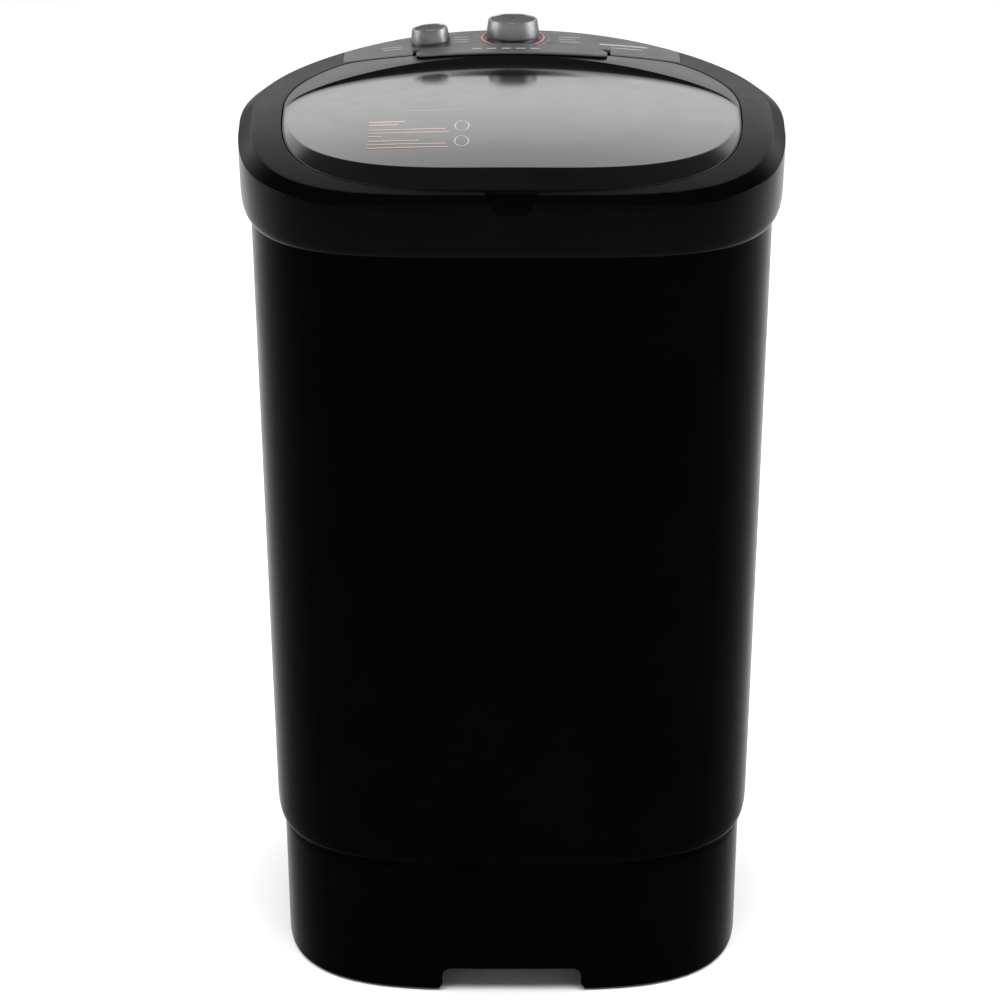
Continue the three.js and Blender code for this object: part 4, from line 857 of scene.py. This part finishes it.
def build_pulsator(m):
    """Disc with three blended vanes and a raised hub."""
    base = TUB_FLOOR + 3
    angle = angles(240)
    spread = np.abs((angle - math.pi / 2 + math.pi / 3) % (TAU / 3) - math.pi / 3)
    rim = PULSATOR_RADIUS - 6
    disc = [(PULSATOR_HUB, 31), (22, 31), (34, 25), (60, 11), (92, 7), (rim, 9)]
    vane = [(PULSATOR_HUB, 31), (24, 36.5), (34, 36.5), (80, 21), (118, 15), (rim, 9)]
    rings = []
    for r in np.linspace(PULSATOR_HUB, rim, 48):
        low = np.interp(r, *zip(*disc))
        high = np.interp(r, *zip(*vane))
        aside = np.abs(r * np.sin(np.minimum(spread, math.pi / 2)))
        height = low + max(high - low, 0) * np.exp(-(aside / 8.5) ** 4)
        rings.append(np.stack([r * np.cos(angle), r * np.sin(angle), base + height], -1))
    for r, z in ((129.5, base + 8.2), (131.4, base + 6.4), (PULSATOR_RADIUS, base + 4),
                 (130.5, base + 1.2), (128.6, base), (PULSATOR_HUB, base)):
        rings.append(np.stack([r * np.cos(angle), r * np.sin(angle), np.full_like(angle, z)], -1))
    piece = ring_piece("pulsator_disc", rings)
    piece.data.transform(at(0, PULSATOR_Y))
    wear(piece, m["white"], "pulsator", "white_plastic", "pulsator")
    screw = turned("pulsator_cap", [(0, 366.4, 0), (4, 366.4, 0.3), (4, 373.4, 0), (12, 373.4, 0.8),
                                    (11, 377.4, 1.6), (0, 378.4, 0)], 64, at(0, PULSATOR_Y))
    cross = [block("recess", size, (0, PULSATOR_Y, 378.6), 0.3, 2) for size in ((1.6, 11, 3), (11, 1.6, 3))]
    boolean(screw, cross)
    wear(screw, m["steel"], "pulsator", "steel", "pulsator_screw")


def build_filter(m):
    x, middle = FILTER_X + 0.6, (FILTER_LOW + FILTER_HIGH) / 2
    height = FILTER_HIGH - FILTER_LOW
    plate = block("filter_plate", (7.6, 87.6, height - 4), (x, FILTER_Y, middle + 1), 1.8, 4)
    grip = block("grip", (7.4, 50, 17), (x, FILTER_Y, FILTER_HIGH + 5.4), 2.4, 4)
    boolean(plate, [grip], "UNION")
    window = block("window", (20, 66, height - 40), (x, FILTER_Y, middle), 5, 4)
    boolean(plate, [window])
    ribs = [block(f"rib{k}", (4, 1.6, height - 38), (x, FILTER_Y + k * 16, middle), 0.5, 2)
            for k in (-1, 0, 1)]
    boolean(plate, ribs, "UNION")
    wear(plate, m["white"], "lint_filter", "white_plastic", "filter_frame")


# ---------------------------------------------------------------- rear and underside
def build_service_cover(m):
    zs = np.linspace(SERVICE_Z - SERVICE_HEIGHT / 2, SERVICE_Z + SERVICE_HEIGHT / 2, 25)
    rings = []
    for x in np.linspace(-SERVICE_HALF, SERVICE_HALF, 61):
        outer = [(x, rear_wall(x, cabinet_half(z)) + 2.6, z) for z in zs]
        inner = [(x, rear_wall(x, cabinet_half(z)) + 0.2, z) for z in zs[::-1]]
        rings.append(outer + inner)
    cover = ring_piece("service_panel", rings, closed=False)
    vents = [block(f"vent{row}", (70, 80, 5), (0, 225, SERVICE_Z + 30 + row * 12), 2.2, 4) for row in range(6)]
    boolean(cover, vents)
    rounded_edges(cover, 0.7)
    wear(cover, m["dark"], "body", "dark_plastic", "service_cover")
    x_screw, z_screw = SERVICE_HALF - 6, SERVICE_HEIGHT / 2 - 6
    places = [(-x_screw, -z_screw), (x_screw, -z_screw), (-x_screw, z_screw), (x_screw, z_screw)]
    for i, (x, dz) in enumerate(places):
        half = cabinet_half(SERVICE_Z + dz)
        slope = (rear_wall(x + 1, half) - rear_wall(x - 1, half)) / 2
        place = at(x, rear_wall(x, half), SERVICE_Z + dz, (0, 0, math.degrees(math.atan(slope))))
        place = place @ at(0, 0, 0, REARWARD)
        screw = turned(f"screw_head_{i + 1}", [(0, -9, 0), (1.5, -8, 0.3), (1.5, 3.1, 0), (4, 3.1, 0.3),
                                               (3.9, 4.6, 0.8), (2.4, 5.4, 0.6), (0, 5.6, 0)], 40)
        slots = [block("slot", size, (0, 0, 5.8), 0.1, 1) for size in ((0.9, 4.6, 2.4), (4.6, 0.9, 2.4))]
        boolean(screw, slots)
        screw.data.transform(place)
        wear(screw, m["steel"], "body", "steel", f"cover_screw_{i + 1}")


def build_fittings(m):
    for (x, y), name in zip(FEET, ("front_left", "front_right", "rear_left", "rear_right")):
        foot = turned(f"rubber_{name}", [(0, 0, 0), (15, 0, 1.4), (17, 3, 0.8), (17, 4.6, 0.6), (8, 4.6, 0.4),
                                         (8, 28, 1), (0, 28, 0)], 64, at(x, y))
        wear(foot, m["rubber"], "body", "rubber", f"foot_{name}")
    spigot = turned("spigot", [(9, 186.6, 0.4), (12, 186.6, 0.4), (12, 211.5, 0.3), (17, 211.5, 0.6),
                               (17, 215, 0.8), (12, 215, 0.5), (12, 226.5, 0.3), (13.2, 228.4, 0.4),
                               (13.1, 230.6, 0.3), (12, 231.4, 0.2), (11.7, 236, 0.7), (9, 236, 0.4)], 80,
                    at(SPIGOT_X, 0, OUTLET_Z, REARWARD))
    wear(spigot, m["dark"], "body", "dark_plastic", "outlet_spigot")
    gland = turned("gland", [(4, 196, 0.3), (8, 196, 0.4), (8, 211.5, 0.3), (12, 211.5, 0.6), (12, 216, 1),
                             (8, 216, 0.6), (7.6, 226, 1), (4, 226, 0.6)], 64,
                   at(GLAND_X, 0, OUTLET_Z, REARWARD))
    wear(gland, m["rubber"], "body", "rubber", "cord_gland")


# ---------------------------------------------------------------- stage
def make_stage():
    floor = mesh_object("floor", [(-9000, -9000, 0), (9000, -9000, 0), (9000, 16000, 0), (-9000, 16000, 0)],
                        [(0, 1, 2, 3)])
    made, tree, shader = material("pale_floor")
    shade = noise(tree, 0.6, 2, 0.5)
    tree.links.new(tinted(tree, shade, (0.9, 0.9, 0.9), (0.93, 0.93, 0.93)), shader.inputs["Base Color"])
    shader.inputs["Roughness"].default_value = 0.9
    shader.inputs["Specular IOR Level"].default_value = 0.1
    floor.data.materials.append(made)


def soft_light(name, place, target, size, power, tall=None):
    lamp = bpy.data.lights.new(name, "AREA")
    lamp.shape = "RECTANGLE"
    lamp.size, lamp.size_y = size, tall or size
    lamp.energy = power
    holder = bpy.data.objects.new(name, lamp)
    holder.location = place
    holder.rotation_euler = (Vector(target) - Vector(place)).to_track_quat("-Z", "Y").to_euler()
    bpy.context.scene.collection.objects.link(holder)
    return holder


def make_lights():
    world = bpy.data.worlds.new("studio")
    world.use_nodes = True
    bpy.context.scene.world = world
    tree = world.node_tree
    direction = node(tree, "ShaderNodeTexCoord").outputs["Generated"]
    height = node(tree, "ShaderNodeSeparateXYZ", {"Vector": direction}).outputs["Z"]
    ramp = node(tree, "ShaderNodeValToRGB", {"Fac": height})
    stops = ramp.color_ramp.elements
    for position, level in ((0.14, 0.55), (0.22, 1.9), (0.28, 1.8), (0.34, 1.15), (0.41, 0.95), (0.46, 0.75),
                            (0.49, 0.15), (0.57, 0.05)):
        stops.new(position).color = (level, level, level, 1)
    stops[0].color = (0.4, 0.4, 0.4, 1)
    stops[-1].color = (0.05, 0.05, 0.05, 1)
    tree.links.new(ramp.outputs["Color"], tree.nodes["Background"].inputs["Color"])
    behind = node(tree, "ShaderNodeSeparateXYZ", {"Vector": direction}).outputs["Y"]
    round_room = node(tree, "ShaderNodeValToRGB", {"Fac": remap(tree, behind, 0, 1, -1, 1)})
    round_room.color_ramp.elements[0].color = (0.7, 0.7, 0.7, 1)
    for position, level in ((0.4, 0.5), (0.55, 0.25), (0.85, 1)):
        round_room.color_ramp.elements.new(position).color = (level, level, level, 1)
    tree.links.new(round_room.outputs["Color"], tree.nodes["Background"].inputs["Strength"])
    soft_light("left_box", (-3.4, 0.4, 1.9), (0, 0, 0.4), 2.4, 70, 2.6)
    soft_light("right_box", (3.4, 0.4, 1.9), (0, 0, 0.4), 2.4, 90, 2.6)
    overhead = soft_light("overhead", (0, -0.6, 5.2), (0, 0, 0), 5.5, 430)
    overhead.visible_glossy = False
    soft_light("front_strip", (0, -1.7, 4.6), (0, -0.2, 0.8), 3.2, 40, 1.2)


def make_camera():
    """The photograph's view: a long lens from in front, looking down."""
    lens = bpy.data.cameras.new("view")
    lens.sensor_width = 36
    lens.lens = 161.3
    lens.shift_x = -0.0118
    camera = bpy.data.objects.new("view", lens)
    camera.location = (0, -4.003, 2.0247)
    camera.rotation_euler = Euler((math.radians(90 - 21.82), 0, 0))
    bpy.context.scene.collection.objects.link(camera)
    bpy.context.scene.camera = camera


def finish_carried(m):
    """Materials for the CAD nodes that stay: what is inside, and plain turned pieces."""
    looks = {
        "steel": ("hinge_pin_left", "hinge_pin_right", "timer_shaft", "selector_shaft", "pulsator_shaft",
                  "motor_shaft", "motor_plate", "capacitor_clamp", "motor_pulley", "motor_bolt_1",
                  "motor_bolt_2", "motor_bolt_3", "motor_bolt_4"),
        "white": ("timer_unit", "selector_switch", "capacitor", "filter_guide"),
        "net": ("filter_net",),
        "dark": ("driven_pulley", "bearing_housing", "drain_elbow", "drain_hose", "drain_grille"),
        "rubber": ("shaft_seal", "drive_belt", "motor_grommet_1", "motor_grommet_2", "motor_grommet_3",
                   "motor_grommet_4", "wiring_harness"),
        "cast": ("motor_lower_shield", "motor_upper_shield", "motor_rotor"),
        "winding": ("motor_stator",),
        "bronze": ("lower_bush", "upper_bush"),
    }
    for look, names in looks.items():
        for name in names:
            carried = frame["nodes"][name]
            carried.data.materials.clear()
            carried.data.materials.append(m[look])


bpy.context.scene.view_settings.view_transform = "Standard"
make_camera()
materials = make_materials()
build_cabinet(materials)
build_base(materials)
build_top_frame(materials)
build_console(materials)
build_knob(materials, "timer", TIMER, TIMER_RADIUS, TIMER_HEIGHT, "timer_dial")
build_knob(materials, "selector", SELECTOR, SELECTOR_RADIUS, SELECTOR_HEIGHT, "selector_dial")
build_lid(materials)
build_tab(materials)
build_lid_print(materials)
build_legends(materials)
build_tub(materials)
build_pulsator(materials)
build_filter(materials)
build_service_cover(materials)
build_fittings(materials)
finish_carried(materials)
make_stage()
make_lights()
